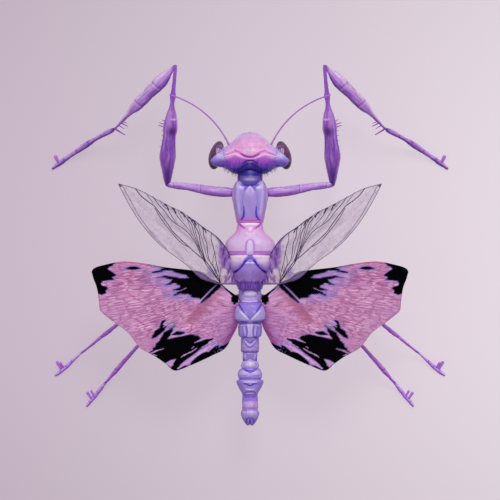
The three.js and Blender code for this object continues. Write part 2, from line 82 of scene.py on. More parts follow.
def through(knots, values, at):
    """Rows of values at places between knots, along smooth lines that never overshoot them."""
    knots = np.asarray(knots, float)
    values = np.asarray(values, float).reshape(len(knots), -1)
    steps = np.diff(knots)[:, None]
    slopes = np.diff(values, axis=0) / steps
    turns = slopes[:-1] * slopes[1:] <= 0
    total = np.where(turns, 1, slopes[:-1] + slopes[1:])
    leans = np.where(turns, 0, 2 * slopes[:-1] * slopes[1:] / total)
    leans = np.vstack([slopes[:1], leans, slopes[-1:]])
    place = np.clip(np.searchsorted(knots, at, side="right") - 1, 0, len(knots) - 2)
    t = np.clip((at - knots[place]) / steps[place, 0], 0, 1)[:, None]
    leaving, arriving = leans[place] * steps[place], leans[place + 1] * steps[place]
    return cubic(values[place], leaving, values[place + 1], arriving, t)


def bow(start, control, end, t):
    """Places on the bow from start to end that leans towards a control point."""
    return start * (1 - t) ** 2 + 2 * control * t * (1 - t) + end * t**2


def unit(vectors):
    return vectors / np.linalg.norm(vectors, axis=-1, keepdims=True)


def ways_across(way, level):
    """Two directions square to a way and to each other, the first square to level too."""
    across = unit(np.cross(way, level))
    return across, np.cross(across, way)


def lengths_of(path):
    return np.concatenate([[0], np.cumsum(np.linalg.norm(np.diff(path, axis=0), axis=1))])


def resampled(at, known, columns):
    """Columns of numbers that are known at some places, taken at others."""
    return np.column_stack([np.interp(at, known, column) for column in columns.T])


def places_on(path, distances):
    """Points on a dense path at distances from its start."""
    return resampled(distances, lengths_of(path), path)


def curve(points, fineness=40):
    """A dense path through points, rounded as a centripetal Catmull-Rom curve."""
    points = np.asarray(points, float)
    padded = np.vstack([2 * points[0] - points[1], points, 2 * points[-1] - points[-2]])
    t = np.linspace(0, 1, fineness, endpoint=False)[:, None]
    pieces = []
    for before, start, end, after in zip(padded, padded[1:], padded[2:], padded[3:]):
        a = np.linalg.norm(start - before) ** 0.5
        b = np.linalg.norm(end - start) ** 0.5
        c = np.linalg.norm(after - end) ** 0.5
        leaving = ((start - before) / a - (end - before) / (a + b)) * b + (end - start)
        arriving = (end - start) - ((after - start) / (b + c) - (after - end) / c) * b
        pieces.append(cubic(start, leaving, end, arriving, t))
    return np.vstack([*pieces, points[-1:]])


def scattered(cells, seed):
    """A number from 0 to 1 for each whole-numbered cell, alike on every run."""
    mixed = np.full(cells[0].shape, seed + 1, np.int64)
    for cell in cells:
        mixed = ((mixed ^ cell.astype(np.int64)) * 0x27D4EB2D) & 0x7FFFFFFF
        mixed ^= mixed >> 15
    mixed = (mixed * 0x45D9F3B5) & 0x7FFFFFFF
    mixed ^= mixed >> 13
    return mixed / 0x7FFFFFFF


def noise(*places, seed=0):
    """Smooth noise from -1 to 1, with lumps of about one unit."""
    floors = [np.floor(place) for place in places]
    eased = [smoothstep(0, 1, place - floor) for place, floor in zip(places, floors)]
    total = 0
    for corner in itertools.product((0, 1), repeat=len(places)):
        weight = 1
        for far, share in zip(corner, eased):
            weight = weight * (share if far else 1 - share)
        cell = [floor + far for floor, far in zip(floors, corner)]
        total = total + weight * scattered(cell, seed)
    return 2 * total - 1


def cells(u, v, seed, jitter=0.8):
    """Of one jittered point in each unit square: how much nearer the nearest is than the next
    one, and the nearest one's own number from 0 to 1."""
    nearest = np.full(u.shape, 9.0)
    second = np.full(u.shape, 9.0)
    own = np.zeros(u.shape)
    for du, dv in itertools.product((-1, 0, 1), repeat=2):
        cell = [np.floor(u) + du, np.floor(v) + dv]
        at_u = cell[0] + 0.5 + jitter * (scattered(cell, seed) - 0.5)
        at_v = cell[1] + 0.5 + jitter * (scattered(cell, seed + 7) - 0.5)
        distance = np.hypot(u - at_u, v - at_v)
        closer = distance < nearest
        second = np.where(closer, nearest, np.minimum(second, distance))
        own = np.where(closer, scattered(cell, seed + 13), own)
        nearest = np.minimum(nearest, distance)
    return second - nearest, own


def beside(u, v, start, end):
    """How far along a straight line each place lies, from 0 to 1, and its distance to it."""
    du, dv = end[0] - start[0], end[1] - start[1]
    share = np.clip(((u - start[0]) * du + (v - start[1]) * dv) / (du * du + dv * dv), 0, 1)
    return share, np.hypot(u - start[0] - share * du, v - start[1] - share * dv)


def distance_to(u, v, line):
    """Distance from places to a line of points."""
    nearest = np.full(u.shape, np.inf)
    for start, end in zip(line, line[1:]):
        nearest = np.minimum(nearest, beside(u, v, start, end)[1])
    return nearest


def stroke(u, v, points, width):
    """1 on a line of points, fading beside it. A point's third number scales the width there."""
    mask = np.zeros(u.shape)
    for start, end in zip(points, points[1:]):
        share, away = beside(u, v, start, end)
        a_width, b_width = [width * (point[2] if len(point) > 2 else 1) for point in (start, end)]
        mask = np.maximum(mask, np.exp(-((away / (a_width + (b_width - a_width) * share)) ** 2)))
    return mask


def outside(u, v, outline):
    """Distance to a closed outline, less than 0 inside it."""
    ring = [*outline, outline[0]]
    odd = np.zeros(u.shape, bool)
    for (au, av), (bu, bv) in zip(ring, ring[1:]):
        crosses = (av > v) != (bv > v)
        if bv != av:
            odd ^= crosses & (u < au + (v - av) * (bu - au) / (bv - av))
    return np.where(odd, -1, 1) * distance_to(u, v, ring)


# ---- Skins over rings of points ----
def ticks(length, step, rim):
    """Distances along a piece: even steps, and closer ones round the rim at each end."""
    bend = rim * (1 - np.cos(np.linspace(0, math.pi / 2, RIM_STEPS + 1)))
    count = max(2, round((length - 2 * rim) / step) + 1)
    even = np.linspace(rim, length - rim, count)
    return np.concatenate([bend[:-1], even, length - bend[-2::-1]])


def drawn_in(distances, rim):
    """How far a rounded rim is drawn in, at distances along a piece."""
    from_end = np.minimum(distances, distances[-1] - distances)
    inside = np.clip(1 - from_end / rim, 0, 1)
    return rim * (1 - np.sqrt(1 - inside**2))


def even_oval(columns, squareness):
    """Cosines and sines round a rounded box, evenly spaced. A squareness of 1 is a circle."""
    turn = np.linspace(0, 2 * math.pi, OVAL_FINENESS)
    circle = np.column_stack([np.cos(turn), np.sin(turn)])
    dense = np.sign(circle) * np.abs(circle) ** squareness
    return places_on(dense, np.arange(columns) / columns * lengths_of(dense)[-1]).T


def rings(centres, across, up, wide, high, squareness, columns):
    """Rings about centres. wide and high are each a pair: reach one way, and the other way."""
    cosine, sine = even_oval(columns, squareness)
    sideways = np.where(cosine > 0, wide[0][:, None], wide[1][:, None]) * cosine
    upward = np.where(sine > 0, high[0][:, None], high[1][:, None]) * sine
    across = np.broadcast_to(across, centres.shape)
    up = np.broadcast_to(up, centres.shape)
    return (
        centres[:, None]
        + sideways[..., None] * across[:, None]
        + upward[..., None] * up[:, None]
    )


def round_rings(centres, across, up, size, columns):
    return rings(centres, across, up, (size, size), (size, size), 1, columns)


X_AXIS, Y_AXIS, Z_AXIS = np.eye(3)
# A view's two axes and the way that a surface faces it.
VIEWS = {
    "top": (0, 1, Z_AXIS),
    "front": (0, 2, Y_AXIS),
    "back": (0, 2, -Y_AXIS),
}


class Skin:
    """A closed skin over rings of points, on which colour and relief are laid. Marks are placed
    by a view of the skin: two of its coordinates, the first counted from the middle plane."""

    def __init__(self, grid, base):
        self.grid = grid
        self.relief = np.zeros(grid.shape[:2])
        self.colour = np.broadcast_to(np.asarray(base, float), grid.shape).copy()
        round_it = np.roll(grid, -1, axis=1) - np.roll(grid, 1, axis=1)
        normal = np.cross(round_it, np.gradient(grid, axis=0))
        normal /= np.maximum(np.linalg.norm(normal, axis=2, keepdims=True), 1e-9)
        outward = grid - grid.mean(axis=1, keepdims=True)
        self.sign = 1 if (normal * outward).sum() > 0 else -1
        self.normal = normal * self.sign

    def coordinates(self, view):
        first, second, way = VIEWS[view]
        seen = smoothstep(0.0, 0.3, self.normal @ way)
        return np.abs(self.grid[..., first]), self.grid[..., second], seen

    def wash(self, colour, mask, strength=1.0, height=0.0):
        """Colours the skin where mask is 1, and raises it there."""
        share = (mask * strength)[..., None]
        self.colour += (np.asarray(colour, float) - self.colour) * share
        self.relief += height * mask

    def along(self, share):
        """Each ring's number, at all of its points."""
        return np.broadcast_to(share[:, None], self.relief.shape)

    def beads(self, share, count):
        """1 on the middle of each of a number of beads, and 0 where they join."""
        return np.abs(np.sin(self.along(share) * math.pi * count))

    def line(self, colour, points, width, strength, height=0.0, view="top"):
        u, v, seen = self.coordinates(view)
        self.wash(colour, stroke(u, v, points, width) * seen, strength, height)

    def spot(self, colour, middle, reach, strength, height=0.0, view="top"):
        u, v, seen = self.coordinates(view)
        away = ((u - middle[0]) / reach[0]) ** 2 + ((v - middle[1]) / reach[1]) ** 2
        self.wash(colour, np.exp(-(away**1.5)) * seen, strength, height)

    def field(self, colour, outline, soft, strength, height=0.0, view="top"):
        """Fills an outline, with a soft edge."""
        u, v, seen = self.coordinates(view)
        mask = smoothstep(soft, -soft, outside(u, v, outline)) * seen
        self.wash(colour, mask, strength, height)

    def band(self, colour, start, end, soft, strength):
        """Colours the skin from one y to another, with soft edges."""
        y = self.grid[..., 1]
        inside = smoothstep(start - soft, start + soft, y) * smoothstep(end + soft, end - soft, y)
        self.wash(colour, inside, strength)

    def flanks(self, colour, strength, reach=(0.75, 0.2)):
        """Colours the skin where it turns down at the sides."""
        self.wash(colour, smoothstep(reach[0], reach[1], self.normal[..., 2]), strength)

    def streaks(self, colour, size, seed, strength, height=0.0):
        """Streaks of a size (x, y, z)."""
        mask = smoothstep(0.0, 0.7, noise(*np.moveaxis(self.grid / size, -1, 0), seed=seed))
        self.wash(colour, mask, strength, height)

    def roughen(self, height, size, seed):
        self.relief += height * noise(*np.moveaxis(self.grid / size, -1, 0), seed=seed)

    def shape(self):
        points = self.grid + self.normal * self.relief[..., None]
        colour = self.colour
        for end in (0, -1):
            ring, tint = points[end], colour[end]
            middle = ring.mean(axis=0)
            for share in CAP_RINGS:
                inner = (middle + (ring - middle) * share)[None]
                points = np.concatenate([inner, points] if end == 0 else [points, inner])
                colour = np.concatenate([tint[None], colour] if end == 0 else [colour, tint[None]])
        rows, columns = points.shape[:2]
        index = np.arange(rows * columns).reshape(rows, columns)
        after = np.roll(index, -1, axis=1)
        quads = np.stack([index[:-1], after[:-1], after[1:], index[1:]], axis=-1).reshape(-1, 4)
        first, last = rows * columns, rows * columns + 1
        start = np.stack([after[0], index[0], np.full(columns, first)], axis=-1)
        finish = np.stack([index[-1], after[-1], np.full(columns, last)], axis=-1)

        # The unwrap is the grid itself. Its last column ends at 1, one step after its start.
        u = np.arange(columns) / columns
        u_next = u + 1 / columns
        u_mid = (u + u_next) / 2
        v = (np.arange(rows) + 1) / (rows + 1)
        quad_u = np.broadcast_to(np.stack([u, u_next, u_next, u], axis=-1), (rows - 1, columns, 4))
        quad_v = np.stack([v[:-1], v[:-1], v[1:], v[1:]], axis=-1)[:, None]
        quad_uv = np.stack([quad_u, np.broadcast_to(quad_v, quad_u.shape)], axis=-1)
        start_u, finish_u = np.stack([[u_next, u, u_mid], [u, u_next, u_mid]]).swapaxes(1, 2)
        start_v = np.broadcast_to([v[0], v[0], 0], start_u.shape)
        finish_v = np.broadcast_to([v[-1], v[-1], 1], finish_u.shape)
        tri_uv = np.stack([np.vstack([start_u, finish_u]), np.vstack([start_v, finish_v])], axis=-1)

        def with_middles(array):
            """The rows, and the middle of the first and of the last one."""
            return np.vstack([array.reshape(-1, 3), array[0].mean(axis=0), array[-1].mean(axis=0)])

        made = Shape(
            with_middles(points),
            quads,
            np.vstack([start, finish]),
            with_middles(colour),
            np.vstack([quad_uv.reshape(-1, 2), tri_uv.reshape(-1, 2)]),
        )
        return made if self.sign > 0 else made.turned()


class Shape:
    """A closed mesh: points, faces of four and of three corners, a colour for each point with
    its alpha, and a place on the unwrap for each corner."""

    def __init__(self, points, quads, tris, colours, uv):
        self.points = points
        self.quads = quads
        self.tris = tris
        self.colours = colours
        if colours.shape[1] == 3:
            self.colours = np.column_stack([colours, np.ones(len(colours))])
        self.uv = uv

    def turned(self):
        """The same shape with its faces the other way out."""
        corners = 4 * len(self.quads)
        quad_uv = self.uv[:corners].reshape(-1, 4, 2)[:, ::-1].reshape(-1, 2)
        tri_uv = self.uv[corners:].reshape(-1, 3, 2)[:, ::-1].reshape(-1, 2)
        quads, tris = self.quads[:, ::-1], self.tris[:, ::-1]
        return Shape(self.points, quads, tris, self.colours, np.vstack([quad_uv, tri_uv]))

    def mirrored(self):
        other = self.turned()
        other.points = other.points * [-1, 1, 1]
        return other


MAIN_SHARE = 0.8  # of the unwrap's width, for the first of several shapes
CELL_FILL = 0.9  # how much of its cell each other shape's unwrap fills


def joined(shapes):
    """Shapes as one, the first on most of the unwrap and the others in a grid beside it."""
    if len(shapes) == 1:
        return shapes[0]
    side = math.ceil(math.sqrt(len(shapes) - 1))
    small = (1 - MAIN_SHARE) / side
    points, quads, tris, colours, quad_uv, tri_uv = [], [], [], [], [], []
    start = 0
    for number, made in enumerate(shapes):
        if number == 0:
            uv = made.uv * [MAIN_SHARE, 1]
        else:
            column, row = divmod(number - 1, side)
            cell = np.array([MAIN_SHARE + column * small, row / side])
            uv = cell + made.uv * [small * CELL_FILL, CELL_FILL / side]
        corners = 4 * len(made.quads)
        quad_uv.append(uv[:corners])
        tri_uv.append(uv[corners:])
        points.append(made.points)
        quads.append(made.quads + start)
        tris.append(made.tris + start)
        colours.append(made.colours)
        start += len(made.points)
    return Shape(
        np.vstack(points),
        np.vstack(quads),
        np.vstack(tris),
        np.vstack(colours),
        np.vstack([*quad_uv, *tri_uv]),
    )


def linear(colours):
    """Linear light from red, green and blue out of 255."""
    share = np.clip(np.asarray(colours, float) / 255, 0, 1)
    return np.where(share <= 0.04045, share / 12.92, ((share + 0.055) / 1.055) ** 2.4)


def place(name, shapes, material, slot, nodes=()):
    """Makes one piece of shapes in the insect's own axes, riding the body and standing for CAD
    nodes."""
    made = joined(shapes)
    points = made.points + SHIFT
    points[:, 2] = np.maximum(points[:, 2], 0)  # nothing sinks into the ground
    mesh = bpy.data.meshes.new(name)
    corners = np.concatenate([made.quads.ravel(), made.tris.ravel()])
    sizes = np.concatenate([np.full(len(made.quads), 4), np.full(len(made.tris), 3)])
    mesh.vertices.add(len(points))
    mesh.vertices.foreach_set("co", (points * MM).astype(np.float32).ravel())
    mesh.loops.add(len(corners))
    mesh.loops.foreach_set("vertex_index", corners.astype(np.int32))
    mesh.polygons.add(len(sizes))
    starts = np.concatenate([[0], np.cumsum(sizes)[:-1]])
    mesh.polygons.foreach_set("loop_start", starts.astype(np.int32))
    mesh.polygons.foreach_set("use_smooth", np.ones(len(sizes), bool))
    mesh.update(calc_edges=True)
    layer = mesh.uv_layers.new(name="OFBake")
    layer.data.foreach_set("uv", made.uv.astype(np.float32).ravel())
    tint = mesh.color_attributes.new("tint", "FLOAT_COLOR", "POINT")
    rgba = np.column_stack([linear(made.colours[:, :3]), made.colours[:, 3]])
    tint.data.foreach_set("color", rgba.astype(np.float32).ravel())
    mesh.materials.append(material)
    piece = bpy.data.objects.new(name, mesh)
    bpy.context.scene.collection.objects.link(piece)
    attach(piece, "root")
    if nodes:
        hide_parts(*nodes)


def place_pair(part, shapes, material, slot):
    """A piece for the right node of a part, and its mirror image for the left one."""
    mirrored = [made.mirrored() for made in shapes]
    place(f"{part}_right_skin", shapes, material, slot, [f"{part}_right"])
    place(f"{part}_left_skin", mirrored, material, slot, [f"{part}_left"])


# ---- Materials ----
NOISE_RANGE = (0.3, 0.7)  # where most of a noise node's values lie
# The colour sockets of a Mix node, which has others of the same names.
MIX_A, MIX_B, MIX_RESULT = 6, 7, 2


class Finish:
    """A procedural material that starts from the painted colours."""

    def __init__(self, name, **settings):
        self.material = bpy.data.materials.new(name)
        self.material.use_nodes = True
        self.tree = self.material.node_tree
        self.shader = self.tree.nodes["Principled BSDF"]
        for socket, value in settings.items():
            self.shader.inputs[socket.replace("_", " ")].default_value = value
        self.place = self.node("ShaderNodeTexCoord").outputs["Object"]
        self.tint = self.node("ShaderNodeAttribute")
        self.tint.attribute_name = "tint"

    def node(self, kind, **inputs):
        made = self.tree.nodes.new(kind)
        for socket, value in inputs.items():
            self.feed(made.inputs[socket.replace("_", " ")], value)
        return made

    def feed(self, socket, value):
        if isinstance(value, bpy.types.NodeSocket):
            self.tree.links.new(value, socket)
        else:
            socket.default_value = value

    def noise(self, size, detail=3.0):
        """Noise with lumps of about so many millimetres."""
        scale = 1 / (size * MM)
        made = self.node("ShaderNodeTexNoise", Vector=self.place, Scale=scale, Detail=detail)
        return made.outputs["Fac"]

    def pits(self, size):
        made = self.node("ShaderNodeTexVoronoi", Vector=self.place, Scale=1 / (size * MM))
        return made.outputs["Distance"]

    def spread(self, value, low, high, to_low, to_high):
        """A value from low to high, spread from to_low to to_high."""
        made = self.node("ShaderNodeMapRange", Value=value)
        for side, number in (
            ("From Min", low),
            ("From Max", high),
            ("To Min", to_low),
            ("To Max", to_high),
        ):
            made.inputs[side].default_value = number
        return made.outputs["Result"]

    def varied(self, size, low, high, detail=3.0):
        """Noise that runs from low to high."""
        return self.spread(self.noise(size, detail), *NOISE_RANGE, low, high)

    def shaded(self, colour, factor):
        """colour multiplied by a factor."""
        made = self.node("ShaderNodeMix")
        made.data_type = "RGBA"
        made.blend_type = "MULTIPLY"
        made.inputs["Factor"].default_value = 1
        self.feed(made.inputs[MIX_A], colour)
        self.feed(made.inputs[MIX_B], factor)
        return made.outputs[MIX_RESULT]

    def bump(self, height, distance, strength, before=None):
        made = self.node("ShaderNodeBump", Height=height, Distance=distance * MM, Strength=strength)
        if before:
            self.feed(made.inputs["Normal"], before)
        return made.outputs["Normal"]

    def wear(self, colour, roughness, normal):
        self.feed(self.shader.inputs["Base Color"], colour)
        self.feed(self.shader.inputs["Roughness"], roughness)
        self.feed(self.shader.inputs["Normal"], normal)
        return self.material


def shell_finish(name, roughness, coat):
    """Chitin: mottled, finely pitted and a little glossy."""
    made = Finish(name, Coat_Weight=coat, Coat_Roughness=0.3, Specular_IOR_Level=0.35)
    mottle = made.varied(0.9, 0.93, 1.06)
    grain = made.varied(0.12, 0.97, 1.03, 2.0)
    colour = made.shaded(made.shaded(made.tint.outputs["Color"], mottle), grain)
    shine = made.varied(0.5, roughness - 0.06, roughness + 0.06)
    pitted = made.bump(made.pits(0.14), 0.02, 0.25)
    return made.wear(colour, shine, made.bump(made.noise(0.3), 0.04, 0.3, pitted))


def eye_finish():
    made = Finish("compound_eye", Coat_Weight=0.08, Coat_Roughness=0.2, Specular_IOR_Level=0.18)
    colour = made.shaded(made.tint.outputs["Color"], made.varied(0.8, 0.85, 1.15))
    pitted = made.bump(made.pits(0.1), 0.01, 0.3)
    return made.wear(colour, made.varied(0.4, 0.32, 0.42), pitted)


def petal_finish():
    """The hindwing: like a crinkled petal, with a soft sheen."""
    made = Finish("wing_petal", Specular_IOR_Level=0.03)
    mottle = made.varied(1.4, 0.93, 1.07)
    grain = made.varied(0.16, 0.95, 1.05, 4.0)
    colour = made.shaded(made.shaded(made.tint.outputs["Color"], mottle), grain)
    crinkle = made.bump(made.noise(0.22, 4.0), 0.05, 0.45)
    return made.wear(colour, made.varied(0.6, 0.62, 0.78), crinkle)


def membrane_finish():
    """The forewing: a clear film, whose alpha is painted with its colour."""
    made = Finish("wing_membrane", Specular_IOR_Level=0.4, Coat_Weight=0.1)
    colour = made.shaded(made.tint.outputs["Color"], made.varied(0.7, 0.9, 1.08, 4.0))
    made.feed(made.shader.inputs["Alpha"], made.tint.outputs["Alpha"])
    crinkle = made.bump(made.noise(0.35), 0.05, 0.5)
    return made.wear(colour, made.varied(0.5, 0.3, 0.42), crinkle)


SHELL = shell_finish("shell", 0.42, 0.12)
LIMB = shell_finish("limb_shell", 0.45, 0.1)
EYE = eye_finish()
PETAL = petal_finish()
MEMBRANE = membrane_finish()


# ---- Thorax: plates along Y ----
# Each plate's stations are [y, half width, top z, bottom z]. Its level is the height of its
# widest line, and a squareness below 1 makes it boxy.
THORAX = {
    "neck": {
        "stations": [
            [15.7, 2.3, 14.3, 10.1],
            [14.6, 2.52, 14.6, 9.9],
            [13.6, 2.54, 14.75, 9.8],
            [12.8, 2.3, 14.8, 9.8],
            [12.1, 1.9, 14.75, 9.9],
        ],
        "level": 12.0,
        "squareness": 0.9,
    },
    "pronotum": {
        "stations": [
            [13.3, 2.45, 13.7, 10.0],
            [12.9, 2.75, 14.2, 9.6],
            [12.2, 3.16, 14.5, 9.1],
            [11.2, 3.5, 14.8, 8.8],
            [9.8, 3.64, 14.9, 8.6],
            [8.4, 3.38, 14.9, 8.7],
            [5.6, 2.86, 14.8, 9.0],
            [4.62, 2.66, 14.6, 9.2],
        ],
        "level": 11.8,
        "squareness": 0.78,
    },
    "mesothorax": {
        "stations": [
            [4.66, 2.5, 14.5, 9.2],
            [3.2, 2.7, 14.7, 8.8],
            [2.5, 3.15, 14.9, 8.5],
            [1.7, 4.1, 15.3, 8.0],
            [0.9, 4.8, 15.6, 7.6],
            [-0.2, 5.05, 15.8, 7.3],
            [-1.0, 4.95, 15.8, 7.2],
            [-1.9, 4.6, 15.6, 7.1],
        ],
        "level": 11.8,
        "squareness": 0.8,
    },
    "metathorax": {
        "stations": [
            [-1.86, 4.3, 15.5, 7.1],
            [-3.2, 4.3, 15.6, 7.1],
            [-4.4, 4.2, 15.5, 7.2],
            [-5.4, 3.9, 15.2, 7.4],
            [-6.4, 3.45, 14.8, 7.7],
            [-7.4, 2.95, 14.4, 8.1],
            [-8.1, 2.62, 14.2, 8.4],
            [-8.7, 2.4, 14.0, 8.6],
        ],
        "level": 11.6,
        "squareness": 0.8,
    },
}
PLATE_RIM = 0.16


def plate_rings(stations, level, squareness, rim=PLATE_RIM, step=STEP):
    """Rings of a shell plate. Its level is a height, or a function of y."""
    front = stations[0][0]
    places = ticks(front - stations[-1][0], step, rim)
    knots = [front - station[0] for station in stations]
    wide, top, bottom = through(knots, [station[1:] for station in stations], places).T
    y = front - places
    z = level(y) if callable(level) else np.full(len(y), level)
    inward = drawn_in(places, rim)
    centres = np.column_stack([np.zeros(len(y)), y, z])
    columns = 4 * round(1.5 * (wide.max() + (top - z).max()) / step)
    reach = wide - inward
    high = (top - z - inward, z - bottom - inward)
    return rings(centres, X_AXIS, Z_AXIS, (reach, reach), high, squareness, columns)


def paint_neck(skin):
    skin.flanks((110, 18, 140), 0.95, (0.9, 0.35))
    skin.band((28, 12, 132), 13.95, 16.0, 0.25, 0.97)
    skin.line((112, 12, 136), [(2.45, 15.0), (2.5, 13.6), (2.4, 12.6)], 0.26, 0.97, -0.04)
    skin.line((74, 44, 148), [(0.1, 15.6), (0.1, 14.6)], 0.35, 0.6)
    skin.line((40, 22, 146), [(2.1, 15.2), (2.15, 12.5)], 0.16, 0.85, -0.1)
    plate = [(0, 13.9), (1.5, 13.85), (1.95, 13.5), (2.0, 12.9), (1.7, 12.5), (0, 12.4)]
    skin.field((88, 70, 156), plate, 0.14, 0.95, 0.06)
    skin.streaks((92, 72, 160), (0.5, 0.3, 1.0), 60, 0.4)
    skin.spot((182, 170, 202), (0.3, 13.3), (1.1, 0.33), 0.72, 0.04)
    skin.spot((96, 80, 172), (1.7, 12.75), (0.3, 0.4), 0.7)
    skin.band((78, 54, 180), 11.0, 12.5, 0.14, 0.92)


def paint_pronotum(skin):
    skin.flanks((172, 122, 212), 0.8)
    # Shoulders reach forward beside the neck.
    skin.line((104, 34, 138), [(2.35, 13.3, 1.3), (2.55, 12.7), (2.9, 12.3, 0.6)], 0.22, 0.8, -0.08)
    # Pale painted highlights run along the raised bands beside the shield.
    skin.line((188, 166, 226), [(2.4, 12.6), (2.55, 10.6), (2.4, 8.4), (2.1, 6.6)], 0.42, 0.85, 0.1)
    skin.line((204, 190, 232), [(2.45, 12.9), (2.5, 11.6)], 0.2, 0.7, 0.06)
    skin.spot((212, 202, 234), (1.75, 11.75), (0.55, 0.45), 0.9, 0.1)
    skin.line((158, 120, 200), [(3.0, 11.9), (3.15, 10.2), (3.0, 8.6), (2.6, 6.2)], 0.26, 0.6, -0.03)
    skin.line((200, 168, 220), [(3.35, 11.4), (3.4, 9.9), (3.2, 8.4, 0.5)], 0.14, 0.7, 0.04)
    # The middle shield has a pale pointed front, and beside it blue hollows of painted shade.
    shield = [(0, 12.1), (0.55, 11.7), (1.25, 10.3), (1.42, 7.4), (1.3, 5.8), (0, 5.6)]
    skin.field((164, 138, 208), shield, 0.24, 0.9, 0.1)
    hollow = [
        (0, 12.5), (1.9, 12.4), (1.75, 12.05), (1.05, 11.8), (1.1, 11.0), (0.55, 11.7), (0, 12.1),
    ]
    skin.field((98, 78, 196), hollow, 0.13, 0.95, -0.16)
    skin.line((134, 118, 214), [(1.1, 11.2), (1.45, 10.3), (1.55, 9.6, 0.4)], 0.22, 0.6, -0.08)
    skin.line((202, 182, 226), [(0, 11.75), (0.45, 11.15), (0.6, 10.8)], 0.3, 0.9, 0.08)
    skin.spot((182, 160, 220), (0, 10.6), (0.9, 0.9), 0.6, 0.05)
    skin.spot((154, 130, 206), (0, 8.2), (1.0, 1.6), 0.6)
    skin.line((118, 98, 214), [(1.55, 9.4, 0.3), (1.5, 8.6, 0.7), (1.35, 7.5)], 0.12, 0.6, -0.06)
    # Dark blue painted shade in the crease beside the shield.
    crease = [(1.25, 7.8, 0.4), (1.22, 6.6), (1.36, 5.8, 1.1), (1.85, 5.15, 1.2)]
    skin.line((56, 24, 184), crease, 0.18, 1, -0.22)
    skin.line((120, 100, 208), [(1.85, 9.0, 0.4), (1.75, 7.4), (1.8, 6.2, 0.4)], 0.12, 0.6, -0.05)
    # The rear edge is a double magenta fold.
    skin.band((184, 118, 206), 4.4, 5.75, 0.22, 0.8)
    # The crease's painted shade runs on into the fold.
    skin.line((56, 24, 184), [(1.4, 5.75), (1.85, 5.15)], 0.16, 0.8)
    skin.line((214, 78, 196), [(0, 4.98), (1.3, 5.0), (2.2, 5.05, 0.7)], 0.15, 0.95, -0.1)
    skin.line((204, 112, 208), [(0, 5.72), (1.1, 5.72, 0.5)], 0.12, 0.75, -0.06)
    skin.line((196, 84, 200), [(1.9, 5.0), (2.7, 4.85)], 0.2, 0.6)
    for inner in (0.2, 0.5, 0.8, 1.05):
        skin.line((138, 112, 204), [(inner, 7.6, 0.4), (inner * 0.95, 6.0)], 0.07, 0.6, -0.05)


def paint_mesothorax(skin):
    skin.flanks((206, 140, 214), 0.7)
    skin.spot((206, 168, 214), (0, 1.2), (3.8, 2.2), 0.85)
    # A pale painted highlight on each side.
    skin.spot((206, 182, 222), (2.5, 0.3), (1.4, 0.9), 0.7, 0.06)
    skin.streaks((220, 188, 228), (1.6, 0.7, 2.0), 61, 0.3)
    # A near-white painted highlight along the front rim.
    skin.band((244, 226, 238), 4.3, 4.8, 0.08, 0.95)
    skin.line((240, 214, 232), [(0, 4.3), (1.1, 4.2), (1.6, 4.3, 0.5)], 0.14, 0.85, 0.03)
    skin.line((188, 50, 192), [(2.28, 4.4, 1.2), (1.75, 3.95), (1.17, 3.5, 0.8)], 0.2, 0.95, -0.16)
    skin.line((216, 142, 212), [(1.15, 3.5), (0.7, 3.1), (0.25, 2.7, 0.5)], 0.26, 0.7, -0.08)
    skin.line((222, 160, 214), [(0, 3.85), (0.8, 3.8)], 0.3, 0.5)
    skin.spot((240, 216, 236), (0, 3.25), (0.5, 0.42), 0.85, 0.1)
    seam = [(2.45, 4.3), (2.5, 3.3), (2.9, 2.6), (3.6, 1.9), (4.7, 1.0)]
    skin.line((222, 134, 214), seam, 0.26, 0.75)
    skin.line((226, 150, 216), [(2.0, 3.7, 0.5), (2.1, 2.9), (2.5, 2.2, 0.5)], 0.16, 0.5, -0.06)
    # A keel on the middle, outlined in violet.
    skin.band((186, 122, 210), -2.2, -0.95, 0.12, 0.9)
    skin.band((208, 166, 222), -0.95, -0.5, 0.15, 0.5)
    skin.line((168, 92, 202), [(0.95, -1.25), (4.2, -1.25)], 0.1, 0.7, -0.08)
    skin.line((178, 86, 206), [(0.9, -1.8), (4.3, -1.8)], 0.13, 0.9, -0.04)
    keel = [(0, 1.35), (0.5, 1.15), (0.72, 0.5), (0.8, -0.6), (0.85, -1.7), (0, -1.8)]
    skin.field((208, 182, 226), keel, 0.16, 0.85, 0.16)
    outline = [(0, 1.3), (0.45, 1.15), (0.75, 0.55), (0.85, -0.4), (0.85, -1.5)]
    skin.line((178, 116, 220), outline, 0.17, 0.85, -0.1)
    skin.line((228, 206, 234), [(0, 0.85), (0, -0.9)], 0.28, 0.7, 0.05)


